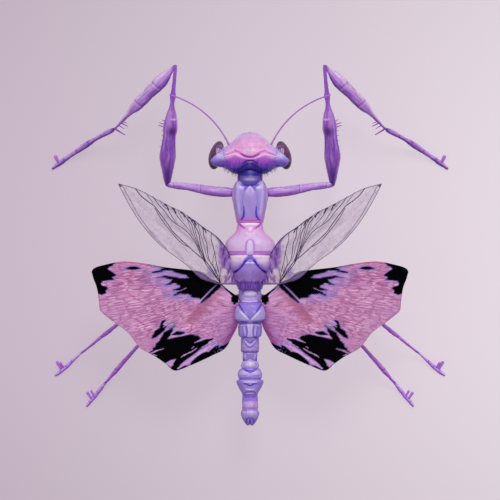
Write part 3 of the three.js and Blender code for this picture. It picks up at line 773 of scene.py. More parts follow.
def paint_metathorax(skin):
    skin.flanks((112, 62, 160), 0.7)
    skin.band((140, 100, 186), -9, -2.8, 0.6, 0.9)
    # Two pale lobes stand either side of an arched middle.
    lobe = [
        (0.3, -1.6), (4.8, -1.6), (4.6, -4.9), (3.3, -5.2), (2.1, -4.6), (1.3, -3.6),
        (0.8, -2.7), (0.45, -2.1),
    ]
    skin.field((208, 180, 224), lobe, 0.16, 0.97, 0.2)
    # Painted light and shade on the lobes: pale along their front, darker towards their rear.
    skin.band((160, 114, 198), -5.4, -3.8, 0.8, 0.6)
    skin.line((238, 216, 226), [(0.9, -2.1), (4.2, -2.2)], 0.26, 0.85)
    skin.spot((232, 204, 218), (2.6, -2.7), (1.1, 0.45), 0.7)
    skin.streaks((182, 146, 208), (1.0, 0.5, 1.0), 59, 0.35)
    skin.spot((184, 146, 206), (3.2, -3.6), (0.9, 0.6), 0.5, 0.05)
    # More painted shade along the lobes' rear and on their outer sides.
    skin.line((132, 90, 188), [(1.7, -3.75, 0.6), (2.5, -4.4), (3.4, -4.75), (4.1, -4.3)], 0.5, 0.8)
    skin.spot((146, 104, 190), (4.05, -3.7), (0.6, 1.1), 0.6)
    shield = [(0, -2.95), (0.85, -3.0), (1.5, -4.1), (2.8, -5.2), (3.2, -6.5), (2.4, -7.2), (0, -7.2)]
    skin.field((150, 116, 198), shield, 0.18, 0.9, 0.14)
    skin.spot((154, 132, 212), (0.5, -4.2), (1.0, 0.8), 0.7)
    skin.spot((136, 90, 178), (1.9, -5.9), (1.1, 0.9), 0.6)
    skin.line((166, 138, 208), [(0, -4.3), (0, -6.3, 0.6)], 0.3, 0.6)
    # Dark blue painted shade in the arch and in the creases that run back from it.
    arch = [(0, -2.5), (0.45, -2.55), (0.8, -2.8), (1.1, -3.3)]
    skin.line((98, 80, 208), arch, 0.34, 0.97, -0.05)
    crease = [
        (0.8, -2.9, 0.6), (1.05, -3.25), (1.35, -3.65), (1.8, -4.25), (2.25, -4.7), (2.8, -5.08),
        (3.5, -5.4), (3.9, -5.8, 0.7),
    ]
    skin.line((64, 30, 184), crease, 0.16, 1.0, -0.3)
    skin.line((62, 20, 132), [(2.7, -5.0), (3.7, -5.6)], 0.22, 0.8, -0.1)
    # A pale painted highlight near the shield's front edge.
    skin.line((240, 222, 232), [(0, -3.36, 0.7), (0.45, -3.38), (0.85, -3.4, 0.8)], 0.15, 0.9, 0.08)
    # The rear is fringed with fine dark streaks.
    skin.band((106, 54, 164), -9.0, -7.1, 0.35, 0.7)
    x, y = skin.grid[..., 0], skin.grid[..., 1]
    bent = x + 0.12 * noise(x / 0.7, y / 0.5, seed=57)
    fringe = smoothstep(-0.05, 0.35, noise(bent / 0.13, y / 0.9, seed=58))
    fringe = fringe * smoothstep(-6.2, -7.4, y)
    skin.wash((58, 16, 128), fringe, 0.7, -0.035)


# Each plate's ground colour, and what paints it.
PAINT_THORAX = {
    "neck": ((132, 112, 186), paint_neck),
    "pronotum": ((160, 138, 208), paint_pronotum),
    "mesothorax": ((212, 172, 220), paint_mesothorax),
    "metathorax": ((150, 112, 192), paint_metathorax),
}


def make_thorax():
    for name, plate in THORAX.items():
        base, paint = PAINT_THORAX[name]
        skin = Skin(plate_rings(**plate), base)
        skin.roughen(0.03, 1.1, seed=3)
        skin.roughen(0.012, 0.35, seed=4)
        paint(skin)
        place(f"{name}_shell", [skin.shape()], SHELL, "lilac_shell", [name])


# ---- Abdomen: ten rings along an axis that sinks towards the tail ----
# The axis, as y and z.
ABDOMEN_START = (-8.8, 11.2)
ABDOMEN_END = (-36.0, 9.8)
ABDOMEN_DEPTH = 0.86  # half height over half width
ABDOMEN_SQUARENESS = 0.92
ABDOMEN_RIM = 0.22
# Each ring's stations are (y, half width).
ABDOMEN_RINGS = [
    [(-8.6, 2.1), (-9.4, 2.28), (-10.4, 2.25), (-11.45, 2.15)],
    [
        (-11.35, 2.35), (-12.0, 3.0), (-12.8, 3.25), (-13.7, 3.42), (-14.6, 3.3), (-15.1, 3.0),
        (-15.5, 2.5),
    ],
    [(-15.42, 2.2), (-16.1, 2.4), (-17.4, 2.36), (-18.0, 2.2), (-18.3, 1.9)],
    [(-18.05, 1.78), (-18.8, 1.8), (-20.4, 1.82), (-21.3, 1.78)],
    [(-21.2, 1.45), (-22.3, 1.46), (-23.2, 1.42)],
    [(-22.9, 1.3), (-23.4, 1.62), (-23.9, 1.82), (-24.3, 1.7), (-24.65, 1.5)],
    [(-24.4, 1.7), (-25.0, 2.25), (-25.7, 2.46), (-26.3, 2.36), (-26.8, 1.95)],
    [(-26.75, 2.58), (-27.2, 2.72), (-28.1, 2.4), (-29.0, 1.9), (-29.75, 1.45)],
    [(-29.6, 1.5), (-31.3, 1.6), (-32.6, 1.62), (-33.0, 1.5)],
    [(-32.85, 1.65), (-33.4, 1.86), (-34.2, 1.7), (-35.0, 1.3), (-35.8, 0.8)],
]


def abdomen_axis(y):
    return np.interp(-y, [-ABDOMEN_START[0], -ABDOMEN_END[0]], [ABDOMEN_START[1], ABDOMEN_END[1]])


def ring_station(y, wide):
    """A plate's station from a ring's one."""
    z = float(abdomen_axis(y))
    return [y, wide, z + wide * ABDOMEN_DEPTH, z - wide * ABDOMEN_DEPTH]


def paint_ring_1(skin):
    skin.flanks((160, 124, 210), 0.8)
    skin.band((110, 76, 182), -8.9, -8.4, 0.12, 0.9)
    skin.spot((214, 200, 232), (0, -9.35), (1.3, 0.62), 0.97, 0.14)
    skin.line((106, 78, 190), [(0.9, -8.75), (1.4, -9.1), (1.6, -9.8, 0.6)], 0.2, 0.8, -0.06)
    skin.line((152, 124, 208), [(1.5, -8.8), (1.75, -9.8), (1.7, -11.0)], 0.2, 0.6, -0.08)
    skin.line((156, 128, 210), [(0, -10.3), (1.2, -10.15, 0.6)], 0.2, 0.7, -0.1)
    skin.line((146, 112, 206), [(1.2, -9.9), (1.4, -10.7)], 0.16, 0.5, -0.05)
    skin.line((222, 210, 238), [(0, -11.2), (1.55, -11.15)], 0.16, 0.95, 0.06)
    skin.band((130, 100, 214), -11.6, -11.35, 0.08, 0.6)


def paint_ring_2(skin):
    skin.flanks((140, 96, 190), 0.8)
    lobe = [(0.6, -13.6), (2.6, -11.9), (3.6, -12.6), (3.5, -14.6), (0.3, -15.0)]
    skin.field((172, 156, 216), lobe, 0.22, 0.9, 0.16)
    wedge = [(0, -11.3), (2.3, -11.4), (1.95, -12.2), (1.3, -13.1), (0, -14.6)]
    skin.field((140, 116, 208), wedge, 0.14, 0.97, 0.1)
    skin.spot((150, 124, 210), (0, -12.1), (1.4, 0.5), 0.5)
    skin.line((84, 62, 204), [(2.3, -11.6, 0.8), (1.85, -12.4), (1.3, -13.2, 0.6)], 0.18, 1, -0.24)
    skin.line((124, 104, 216), [(1.3, -13.2), (0.7, -13.9), (0, -14.7)], 0.14, 0.7, -0.12)
    # A pale painted highlight along the V, on the lobe beside the wedge.
    edge = [(1.95, -13.0, 0.5), (1.35, -13.7), (0.7, -14.3), (0.25, -14.7, 0.5)]
    skin.line((216, 208, 228), edge, 0.22, 0.85, 0.08)
    skin.line((150, 136, 214), [(2.8, -13.2), (2.9, -14.2)], 0.4, 0.4)
    skin.line((154, 140, 222), [(0, -14.95), (2.5, -14.9)], 0.2, 0.7)
    skin.line((58, 28, 188), [(0.6, -15.28, 0.5), (1.1, -15.3), (2.5, -15.2, 0.7)], 0.2, 1, -0.14)


def paint_ring_3(skin):
    skin.flanks((112, 82, 190), 0.85)
    skin.line((206, 192, 230), [(0.8, -15.75), (1.5, -15.8), (2.1, -15.95)], 0.14, 0.9, 0.08)
    tongue = [(0, -15.2), (0.7, -15.3), (0.62, -15.9), (0.42, -17.0), (0.55, -18.1), (0, -18.3)]
    skin.field((198, 180, 226), tongue, 0.12, 0.95, 0.14)
    skin.line((120, 96, 206), [(0.8, -16.0, 0.6), (0.6, -17.0), (0.75, -18.0)], 0.14, 0.85, -0.14)
    skin.line((200, 182, 230), [(1.25, -16.3), (1.05, -17.1), (1.0, -17.9, 0.7)], 0.18, 0.85, 0.1)
    skin.line((118, 94, 202), [(1.5, -16.2), (1.4, -17.9)], 0.14, 0.75, -0.1)
    skin.line((160, 134, 208), [(1.9, -16.3), (1.85, -17.8)], 0.16, 0.5, 0.06)
    skin.spot((70, 40, 184), (1.1, -18.2), (0.42, 0.2), 0.95, 0.1)


def paint_ring_4(skin):
    skin.flanks((124, 94, 190), 0.75)
    skin.streaks((182, 158, 218), (0.5, 0.4, 1.0), 63, 0.5, 0.05)
    skin.line((94, 66, 186), [(0.95, -18.7, 0.6), (0.3, -19.25), (0, -19.4)], 0.17, 0.85, -0.16)
    skin.line((200, 180, 228), [(0.95, -19.1, 0.6), (0.35, -19.75), (0, -19.95)], 0.17, 0.85, 0.1)
    skin.line((112, 84, 190), [(1.0, -19.6, 0.6), (0.5, -20.1), (0, -20.4)], 0.15, 0.7, -0.08)
    skin.line((186, 164, 220), [(0, -20.75), (1.1, -20.5, 0.6)], 0.15, 0.6, 0.05)
    skin.line((86, 58, 188), [(1.35, -18.5), (1.5, -19.2, 0.5)], 0.14, 0.6, -0.05)
    skin.line((84, 56, 184), [(0.2, -21.15), (1.6, -21.1)], 0.14, 0.85, -0.06)


def paint_ring_5(skin):
    skin.flanks((108, 78, 186), 0.8)
    skin.line((190, 172, 224), [(1.0, -21.6), (0.95, -22.5, 0.5)], 0.15, 0.7, 0.07)
    skin.line((118, 90, 196), [(0.72, -21.6), (0.65, -22.4)], 0.12, 0.6, -0.06)
    skin.spot((126, 98, 192), (0, -22.1), (0.5, 0.5), 0.55, -0.06)
    skin.line((190, 170, 224), [(0, -21.5), (1.0, -21.5)], 0.13, 0.7, 0.05)
    skin.field((192, 172, 222), [(0, -22.6), (0.7, -23.0), (1.0, -23.4), (0, -23.5)], 0.1, 0.9, 0.12)
    skin.line((96, 70, 188), [(0, -22.45), (0.8, -22.9), (1.1, -23.1)], 0.11, 0.7, -0.08)
    skin.line((62, 34, 176), [(1.3, -22.6, 0.6), (1.15, -23.1)], 0.2, 0.95, -0.06)


def paint_ring_6(skin):
    skin.flanks((146, 122, 204), 0.7)
    skin.spot((202, 184, 226), (0, -23.6), (1.15, 0.8), 0.9, 0.14)
    skin.line((220, 204, 234), [(0, -23.3), (0, -24.2)], 0.14, 0.6, 0.05)
    skin.line((134, 106, 202), [(1.0, -23.4, 0.6), (1.35, -23.9)], 0.14, 0.6, -0.08)
    skin.line((186, 170, 222), [(1.55, -23.9), (1.3, -24.4)], 0.14, 0.5, 0.05)


def paint_ring_7(skin):
    skin.flanks((124, 92, 200), 0.7, (0.65, 0.3))
    skin.spot((196, 178, 228), (1.1, -25.4), (0.9, 0.5), 0.85, 0.1)
    skin.spot((196, 180, 228), (0.2, -25.8), (0.6, 0.3), 0.6, 0.05)
    skin.line((62, 32, 208), [(0, -25.02, 1.4), (0.6, -24.92, 1.1), (1.2, -24.55, 0.7)], 0.22, 1, -0.24)
    skin.line((210, 196, 234), [(0.5, -25.4), (1.5, -25.2, 0.6)], 0.13, 0.7, 0.05)
    skin.line((144, 122, 218), [(0, -26.5), (1.8, -26.35)], 0.2, 0.85, -0.06)
    skin.line((140, 112, 212), [(0.7, -25.95), (1.9, -26.0, 0.5)], 0.12, 0.6, -0.06)


def paint_ring_8(skin):
    skin.flanks((126, 92, 192), 0.85, (0.8, 0.35))
    side = [(1.75, -26.5), (2.9, -26.6), (1.9, -29.4), (1.25, -29.4), (1.45, -28.3)]
    skin.field((144, 114, 210), side, 0.16, 0.8, -0.04)
    skin.line((170, 152, 224), [(0, -26.85), (1.8, -26.85, 0.7)], 0.16, 0.8)
    skin.line((214, 202, 234), [(0, -27.22), (0.85, -27.22), (1.25, -27.3, 0.6)], 0.15, 0.97, 0.12)
    # Dark painted shade in the crease.
    crease = [(1.4, -27.6, 0.7), (0.75, -27.65), (0.4, -27.9), (0, -27.98)]
    skin.line((86, 56, 178), crease, 0.15, 1, -0.22)
    skin.spot((170, 152, 218), (0, -27.6), (0.26, 0.13), 0.8, 0.06)
    skin.line((216, 204, 234), [(0, -28.72), (0.6, -28.7), (0.85, -28.55, 0.6)], 0.16, 0.97, 0.14)
    skin.line((158, 140, 216), [(0, -28.3), (0.8, -28.2)], 0.14, 0.6)
    skin.line((84, 56, 190), [(0, -29.2), (0.7, -29.25), (1.2, -29.45, 0.6)], 0.12, 0.9, -0.12)
    skin.line((214, 202, 232), [(0, -29.58), (1.2, -29.62)], 0.13, 0.85, 0.03)


def paint_ring_9(skin):
    skin.flanks((128, 84, 186), 0.6)
    skin.band((198, 184, 226), -30.0, -29.2, 0.08, 0.7)
    skin.band((192, 150, 214), -33.4, -31.1, 0.25, 0.9)
    # Painted highlights on the ring's dome.
    skin.spot((216, 194, 226), (0, -31.65), (0.66, 0.5), 0.95, 0.16)
    skin.line((158, 122, 204), [(0.25, -31.45), (0.6, -31.5, 0.5)], 0.08, 0.7, -0.07)
    skin.spot((224, 204, 230), (0, -32.1), (0.34, 0.16), 0.8, 0.05)
    skin.line((152, 104, 208), [(0, -32.6), (1.4, -32.5)], 0.16, 0.85, -0.12)
    skin.line((138, 104, 202), [(0, -30.3), (1.3, -30.3)], 0.2, 0.4, -0.05)
    skin.streaks((120, 86, 188), (0.3, 1.4, 1.0), 64, 0.3, -0.03)


def paint_ring_10(skin):
    skin.flanks((116, 82, 188), 0.75)
    skin.band((110, 78, 182), -36.5, -34.6, 0.9, 0.85)
    skin.spot((204, 190, 228), (0, -33.35), (1.2, 0.5), 0.9, 0.08)
    skin.streaks((124, 96, 196), (0.28, 3.0, 1.5), 65, 0.45, -0.07)
    cleft = [(0, -34.7, 0.5), (0.3, -34.4), (0.75, -34.9), (0.7, -35.5)]
    skin.line((84, 54, 172), cleft, 0.13, 0.85, -0.1)
    skin.line((60, 34, 156), [(0, -34.9), (0, -35.9)], 0.11, 0.9, -0.1)
    skin.line((160, 134, 212), [(0.35, -34.8), (0.4, -35.6)], 0.14, 0.6, 0.06)


# Each ring's ground colour, and what paints it.
PAINT_ABDOMEN = [
    ((186, 158, 222), paint_ring_1),
    ((148, 124, 198), paint_ring_2),
    ((148, 124, 204), paint_ring_3),
    ((152, 126, 200), paint_ring_4),
    ((156, 132, 204), paint_ring_5),
    ((176, 154, 214), paint_ring_6),
    ((170, 148, 216), paint_ring_7),
    ((162, 136, 222), paint_ring_8),
    ((146, 112, 208), paint_ring_9),
    ((166, 144, 212), paint_ring_10),
]


def make_abdomen():
    for number, (ring, (base, paint)) in enumerate(zip(ABDOMEN_RINGS, PAINT_ABDOMEN), 1):
        stations = [ring_station(y, wide) for y, wide in ring]
        grid = plate_rings(stations, abdomen_axis, ABDOMEN_SQUARENESS, ABDOMEN_RIM)
        skin = Skin(grid, base)
        skin.roughen(0.025, 0.8, seed=20 + number)
        skin.roughen(0.012, 0.3, seed=40 + number)
        paint(skin)
        # Below, soft folds cross each ring.
        fold = np.sin(skin.grid[..., 1] * 7.0) * smoothstep(0.1, -0.7, skin.normal[..., 2])
        skin.relief += 0.04 * fold
        name = f"abdomen_{number}"
        place(f"{name}_shell", [skin.shape()], SHELL, "lilac_shell", [name])


CORE_SHARE = 0.88
CORE_SQUARENESS = 0.9
CORE_RIM = 0.5
CORE_STEP = 0.3  # coarse, because almost all of it is hidden


def make_joint_skin():
    """The soft skin between the plates: one tube inside them, seen only in the seams."""
    stations = []
    for plate in THORAX.values():
        for y, wide, top, bottom in plate["stations"][1:-1]:
            middle = (top + bottom) / 2
            half = (top - bottom) / 2 * CORE_SHARE
            stations.append([y, wide * CORE_SHARE, middle + half, middle - half])
    for ring in ABDOMEN_RINGS:
        stations += [ring_station(y, wide * CORE_SHARE) for y, wide in ring[1:-1]]
    stations.sort(key=lambda station: -station[0])

    def level(y):
        ys = [-station[0] for station in stations]
        middles = [(station[2] + station[3]) / 2 for station in stations]
        return np.interp(-y, ys, middles)

    grid = plate_rings(stations, level, CORE_SQUARENESS, CORE_RIM, CORE_STEP)
    place("joint_skin", [Skin(grid, (122, 88, 184)).shape()], SHELL, "violet_shell")


# ---- Head ----
HEAD_BROW = 12.2
HEAD_WAIST = 0.45  # where its widest line runs, as a share of the way forward
CHIN_DEPTH = 0.6  # the widest line runs at least so far above the chin
HEAD_LEAST = 0.1  # the least depth of a rounded end below that line
HEAD_SQUARENESS = 0.95
HEAD_COLUMNS = 320
# One half's stations: x, then the front, back, top and chin there.
HEAD_HALF = [
    (0, 22.6, 14.5, 16.1, 4.2),
    (1.2, 22.45, 14.4, 16.1, 4.4),
    (2.3, 22.0, 14.3, 15.9, 5.2),
    (3.2, 21.2, 14.5, 15.7, 6.6),
    (4.2, 20.4, 15.15, 15.5, 8.0),
    (5.2, 19.7, 15.6, 15.2, 9.2),
    (6.2, 18.9, 15.75, 14.7, 10.2),
    (7.2, 18.1, 15.9, 14.3, 11.1),
    (7.9, 17.5, 16.5, 13.9, 11.9),
]
HEAD_RIM = 0.8


def head_rings():
    stations = [(-x, *rest) for x, *rest in HEAD_HALF[:0:-1]] + HEAD_HALF
    start = stations[0][0]
    places = ticks(stations[-1][0] - start, STEP * 0.9, HEAD_RIM)
    knots = [station[0] - start for station in stations]
    front, back, top, chin = through(knots, [station[1:] for station in stations], places).T
    y = back + (front - back) * HEAD_WAIST
    z = np.maximum(HEAD_BROW, chin + CHIN_DEPTH)
    inward = drawn_in(places, HEAD_RIM)
    centres = np.column_stack([places + start, y, z])
    reach = (front - y - inward, y - back - inward)
    high = (top - z - inward, np.maximum(z - chin - inward, HEAD_LEAST))
    return rings(centres, Y_AXIS, Z_AXIS, reach, high, HEAD_SQUARENESS, HEAD_COLUMNS)


def paint_head_top(skin):
    """The vertex and its dome, seen from above."""
    x, y, seen = skin.coordinates("top")
    skin.wash((188, 164, 218), smoothstep(3.2, 5.2, x) * 0.85)
    skin.wash((200, 166, 214), smoothstep(20.9, 22.2, y) * 0.9)
    skin.spot((214, 148, 200), (0.3, 20.0), (2.8, 1.0), 0.75)
    skin.spot((206, 166, 212), (0, 21.9), (1.3, 0.45), 0.6, 0.06)
    skin.line((204, 142, 204), [(2.7, 20.8, 0.6), (1.7, 21.35), (0, 21.6)], 0.34, 0.5, -0.04)
    skin.line((190, 150, 212), [(4.1, 19.7, 0.6), (3.2, 20.6), (2.4, 21.2, 0.6)], 0.34, 0.6, -0.1)
    skin.line((214, 190, 226), [(3.5, 20.9), (2.6, 21.6)], 0.16, 0.5, 0.06)
    skin.spot((214, 180, 210), (0, 18.75), (1.7, 0.55), 0.85, 0.04)
    skin.line((230, 138, 206), [(3.2, 19.6, 0.6), (1.6, 19.62), (0, 19.66)], 0.16, 0.6, -0.04)
    skin.streaks((236, 178, 218), (1.6, 0.35, 1.0), 66, 0.3, 0.02)
    skin.streaks((202, 148, 206), (1.2, 0.28, 1.0), 67, 0.25, -0.02)
    # Behind the ridges the head falls away, magenta to violet to navy. The violet and the navy are
    # painted shade on the slope that faces away from the light.
    rim = [(0, 17.15), (1.2, 17.3), (2.2, 17.7), (3.0, 17.95), (4.0, 17.6), (5.6, 17.1)]
    skin.field((176, 78, 196), rim + [(5.6, 13.5), (0, 13.5)], 0.3, 0.95)
    skin.wash((106, 58, 180), smoothstep(17.0, 16.0, y) * seen * smoothstep(6.4, 4.6, x))
    skin.wash((84, 46, 172), smoothstep(16.1, 15.5, y) * seen * 0.8)
    behind = skin.colour.copy()
    skin.streaks((150, 78, 196), (0.16, 1.2, 0.8), 68, 0.6, 0.04)
    skin.streaks((70, 34, 160), (0.14, 1.0, 0.8), 69, 0.5, -0.04)
    ahead = smoothstep(17.0, 17.4, y)[..., None]
    skin.colour += (behind - skin.colour) * ahead
    # Deeper painted shade, nearly navy, along the rear edge and in the middle.
    skin.wash((36, 16, 130), smoothstep(15.75, 15.25, y) * 0.95)
    skin.wash((34, 14, 136), smoothstep(16.7, 15.8, y) * smoothstep(2.4, 0.5, x) * 0.92)
    # The side lobes that carry the eyes, each with a pale painted highlight.
    lobe = [(4.9, 18.6), (5.6, 19.5), (6.6, 18.8), (8.0, 17.5), (8.0, 16.0), (5.6, 16.5)]
    skin.field((140, 120, 208), lobe, 0.7, 0.95, 0.1)
    skin.spot((200, 188, 232), (5.95, 18.05), (1.05, 0.66), 0.97, 0.12)
    skin.spot((186, 166, 222), (5.3, 18.9), (0.6, 0.7), 0.7, 0.04)
    skin.line((180, 166, 222), [(6.4, 18.3, 0.5), (7.1, 17.7), (7.7, 17.2, 0.5)], 0.22, 0.6, 0.05)
    under = [(3.8, 16.6, 0.6), (5.2, 16.75), (6.6, 16.6), (7.6, 16.4)]
    skin.line((102, 70, 194), under, 0.42, 0.75, -0.05)
    skin.line((44, 14, 134), [(5.2, 16.1, 0.7), (6.1, 16.02), (6.9, 16.15, 0.7)], 0.24, 0.95, -0.14)
    skin.line((158, 112, 190), [(5.35, 19.2, 0.5), (5.3, 18.2), (5.0, 17.2)], 0.16, 0.5, -0.1)
    # Ridges, highest first, with pale painted highlights along their crests.
    ridge = [(4.9, 18.5, 0.6), (3.8, 18.9), (3.0, 19.3), (2.3, 18.9)]
    skin.line((236, 172, 220), ridge, 0.26, 0.6, 0.1)
    pale = [(5.3, 17.7, 0.5), (3.9, 18.1), (2.9, 18.25), (2.1, 17.95), (1.2, 17.55), (0, 17.42)]
    skin.line((226, 190, 220), pale, 0.2, 0.95, 0.18)
    skin.line((212, 112, 204), [(4.9, 18.1, 0.6), (3.9, 18.5), (3.1, 18.85)], 0.15, 0.8, -0.14)
    brow = [(3.0, 19.05, 0.7), (2.2, 18.65), (1.5, 18.15), (0.8, 17.8), (0, 17.68)]
    skin.line((224, 92, 210), brow, 0.24, 0.9, -0.18)
    fold = [(1.9, 18.4, 0.5), (1.2, 18.0, 1.2), (0.7, 17.76), (0, 17.68)]
    skin.line((156, 22, 178), fold, 0.15, 0.97, -0.14)
    skin.line((184, 122, 196), [(0, 17.15), (0.8, 17.2, 0.6)], 0.13, 0.7, 0.03)
    # An arch and an ellipse at the neck, with dark bands that spread from them.
    arch = [(0, 16.98), (0.7, 16.88), (1.25, 16.5), (1.5, 16.3, 0.6)]
    skin.line((44, 14, 136), arch, 0.19, 0.95, -0.16)
    skin.spot((154, 58, 168), (0, 16.62), (0.66, 0.17), 0.95, 0.08)
    skin.line((26, 8, 120), [(0.5, 16.3), (1.2, 15.8), (2.1, 15.2)], 0.26, 0.95, -0.12)
    skin.spot((98, 52, 158), (0, 15.95), (0.4, 0.3), 0.85, 0.05)


def paint_face(skin):
    """The front of the head: frons, shield, clypeus and lip."""
    _, z, seen = skin.coordinates("front")
    skin.wash((206, 176, 226), smoothstep(13.5, 8.0, z) * seen * 0.6)
    skin.wash((174, 140, 212), smoothstep(8.0, 4.5, z) * seen * 0.7)
    cheek = [(3.9, 12.0), (3.1, 9.6), (2.0, 7.2), (1.3, 5.6)]
    skin.line((150, 104, 196), cheek, 0.2, 0.75, -0.2, "front")
    shield = [(0, 12.2), (1.5, 11.6), (2.0, 10.6), (1.7, 9.3), (0, 9.0)]
    skin.field((224, 184, 224), shield, 0.14, 0.8, 0.16, "front")
    skin.line((140, 84, 184), shield[:-1] + [(0, 9.05)], 0.11, 0.9, -0.14, "front")
    skin.line((240, 212, 236), [(0, 11.7), (1.2, 11.2), (1.6, 10.5)], 0.16, 0.5, 0.04, "front")
    skin.spot((196, 150, 208), (0.8, 9.9), (0.4, 0.6), 0.5, -0.05, "front")
    clypeus = [(0, 8.8), (1.7, 9.0), (1.35, 7.3), (0, 7.1)]
    skin.field((206, 164, 218), clypeus, 0.14, 0.7, 0.14, "front")
    skin.line((150, 96, 192), [(0, 8.9), (1.8, 9.1)], 0.1, 0.8, -0.1, "front")
    skin.line((150, 96, 192), [(0, 7.0), (1.4, 7.2)], 0.1, 0.8, -0.12, "front")
    lip = [(0, 6.9), (1.25, 7.0), (1.2, 5.6), (0.7, 4.9), (0, 4.8)]
    skin.field((186, 146, 212), lip, 0.14, 0.7, 0.16, "front")
    skin.line((226, 200, 232), [(0, 13.4), (1.4, 13.0), (2.6, 13.2)], 0.22, 0.5, 0.06, "front")
    skin.spot((180, 120, 200), (4.2, 12.6), (0.6, 0.6), 0.8, -0.12, "front")
    skin.spot((168, 110, 190), (0, 13.3), (1.4, 0.8), 0.6, 0.0, "front")
    skin.line((140, 96, 190), [(5.0, 13.0), (4.6, 11.0), (3.8, 9.0)], 0.16, 0.6, -0.1, "front")


def paint_nape(skin):
    """The back of the head is violet, with a sunk ring round the neck."""
    x, z, seen = skin.coordinates("back")
    skin.wash((86, 52, 166), seen * smoothstep(5.4, 3.6, x) * 0.85)
    skin.wash((120, 92, 192), seen * smoothstep(10.5, 6.0, z) * 0.6)
    skin.spot((44, 22, 130), (0, 12.0), (3.1, 2.6), 0.85, -0.1, "back")
    ring = [(3.4, 14.6), (4.0, 12.0), (2.8, 9.2), (1.4, 7.2)]
    skin.line((150, 120, 206), ring, 0.3, 0.5, 0.12, "back")


BRISTLE_SIDES = 5
CLAW_SIDES = 12
CLAW_STEPS = 5
CLAW_END_STEPS = 7
BEAD_SIDES = 16
BEAD_STEPS = 9
STEEP = 0.9  # ways that rise more than this are squared to X, and not to Z


def bowed_rings(root, tip, bend, t, size, sides):
    """Round rings from root to tip, at shares t of the way, on a path bowed by bend."""
    root, tip = np.asarray(root, float), np.asarray(tip, float)
    path = bow(root, (root + tip) / 2 + np.asarray(bend, float), tip, t[:, None])
    way = unit(tip - root)
    spread = ways_across(way, Z_AXIS if abs(way[2]) < STEEP else X_AXIS)
    return round_rings(path, *spread, size, sides)


def thorn(root, tip, wide, colour, bend, steps=5, taper=0.85):
    """A tapering spine or bristle from root to tip."""
    t = np.linspace(0, 1, steps)
    size = wide * (1 - taper * t)
    return Skin(bowed_rings(root, tip, bend, t, size, BRISTLE_SIDES), colour).shape()


def claw(root, tip, wide, colour, bend):
    """A blunt claw with a rounded end."""
    turn = np.linspace(0.5, 0.04, CLAW_END_STEPS) * math.pi
    end = 0.8 * wide / math.dist(root, tip)
    straight = np.linspace(0, 1 - end, CLAW_STEPS + 1)[:-1]
    t = np.concatenate([straight, 1 - end * (1 - np.cos(turn))])
    size = wide * (0.6 + 0.25 * t) * np.concatenate([np.ones(CLAW_STEPS), np.sin(turn)])
    skin = Skin(bowed_rings(root, tip, bend, t, size, CLAW_SIDES), colour)
    skin.wash((120, 58, 164), skin.along(smoothstep(0.35, 0.0, t)), 0.6)
    return skin.shape()


def bead(centre, radius, colour):
    """A small glossy ball."""
    turn = np.linspace(0.06, 0.94, BEAD_STEPS) * math.pi
    centres = np.asarray(centre, float) + Y_AXIS * (np.cos(turn) * radius)[:, None]
    grid = round_rings(centres, X_AXIS, Z_AXIS, np.sin(turn) * radius, BEAD_SIDES)
    return Skin(grid, colour).shape()


def head_bristles():
    """Fine hairs along the rear edge of the head."""
    made = []
    for number, x in enumerate(np.linspace(2.4, 5.2, 26)):
        sway = noise(np.array([number * 0.7, number * 1.3]), seed=5)
        y = np.interp(x, [2.4, 3.2, 4.2, 5.2], [14.35, 14.55, 15.2, 15.65])
        root = (x, y + 0.2, 12.7 + 0.6 * sway[1])
        tip = (x + 0.3 + 0.25 * sway[0], y - 0.6 - 0.25 * sway[1], 12.5 + 0.6 * sway[1])
        made.append(thorn(root, tip, 0.045, (104, 74, 158), (0.1, 0, 0.1)))
    return made + [shape.mirrored() for shape in made]


# The three simple eyes on the face, at (x, z), and their radius.
OCELLI = ((0, 12.5), (-0.7, 13.15), (0.7, 13.15))
OCELLUS = 0.2


def make_head():
    skin = Skin(head_rings(), (216, 162, 210))
    skin.roughen(0.03, 1.0, seed=8)
    skin.roughen(0.01, 0.3, seed=9)
    paint_face(skin)
    paint_nape(skin)
    paint_head_top(skin)
    ocelli = []
    for x, z in OCELLI:
        away = (skin.grid[..., 0] - x) ** 2 + (skin.grid[..., 2] - z) ** 2
        away += np.where(skin.normal[..., 1] > 0, 0, 100)
        spot = skin.grid.reshape(-1, 3)[away.argmin()]
        ocelli.append(bead(spot - Y_AXIS * 0.08, OCELLUS, (112, 56, 108)))
    shapes = [skin.shape(), *head_bristles(), *ocelli]
    place("head_shell", shapes, SHELL, "orchid_shell", ["head"])


# An eye wraps round the side lobe: long fore and aft, tall, and thin across. Its middle line
# bends in towards the front.
EYE_Y = (15.36, 20.95)
EYE_Z = 11.1
EYE_BEND = ([15.36, 17.0, 18.2, 19.2, 20.3, 20.95], [7.25, 7.05, 6.82, 6.56, 6.26, 6.12])
EYE_HALF_HEIGHT = 2.95
EYE_REACH = 1.36
FACETS = 300
FACET_RISE = 0.045
EYE_SIDES = 200
EYE_STEPS = 140


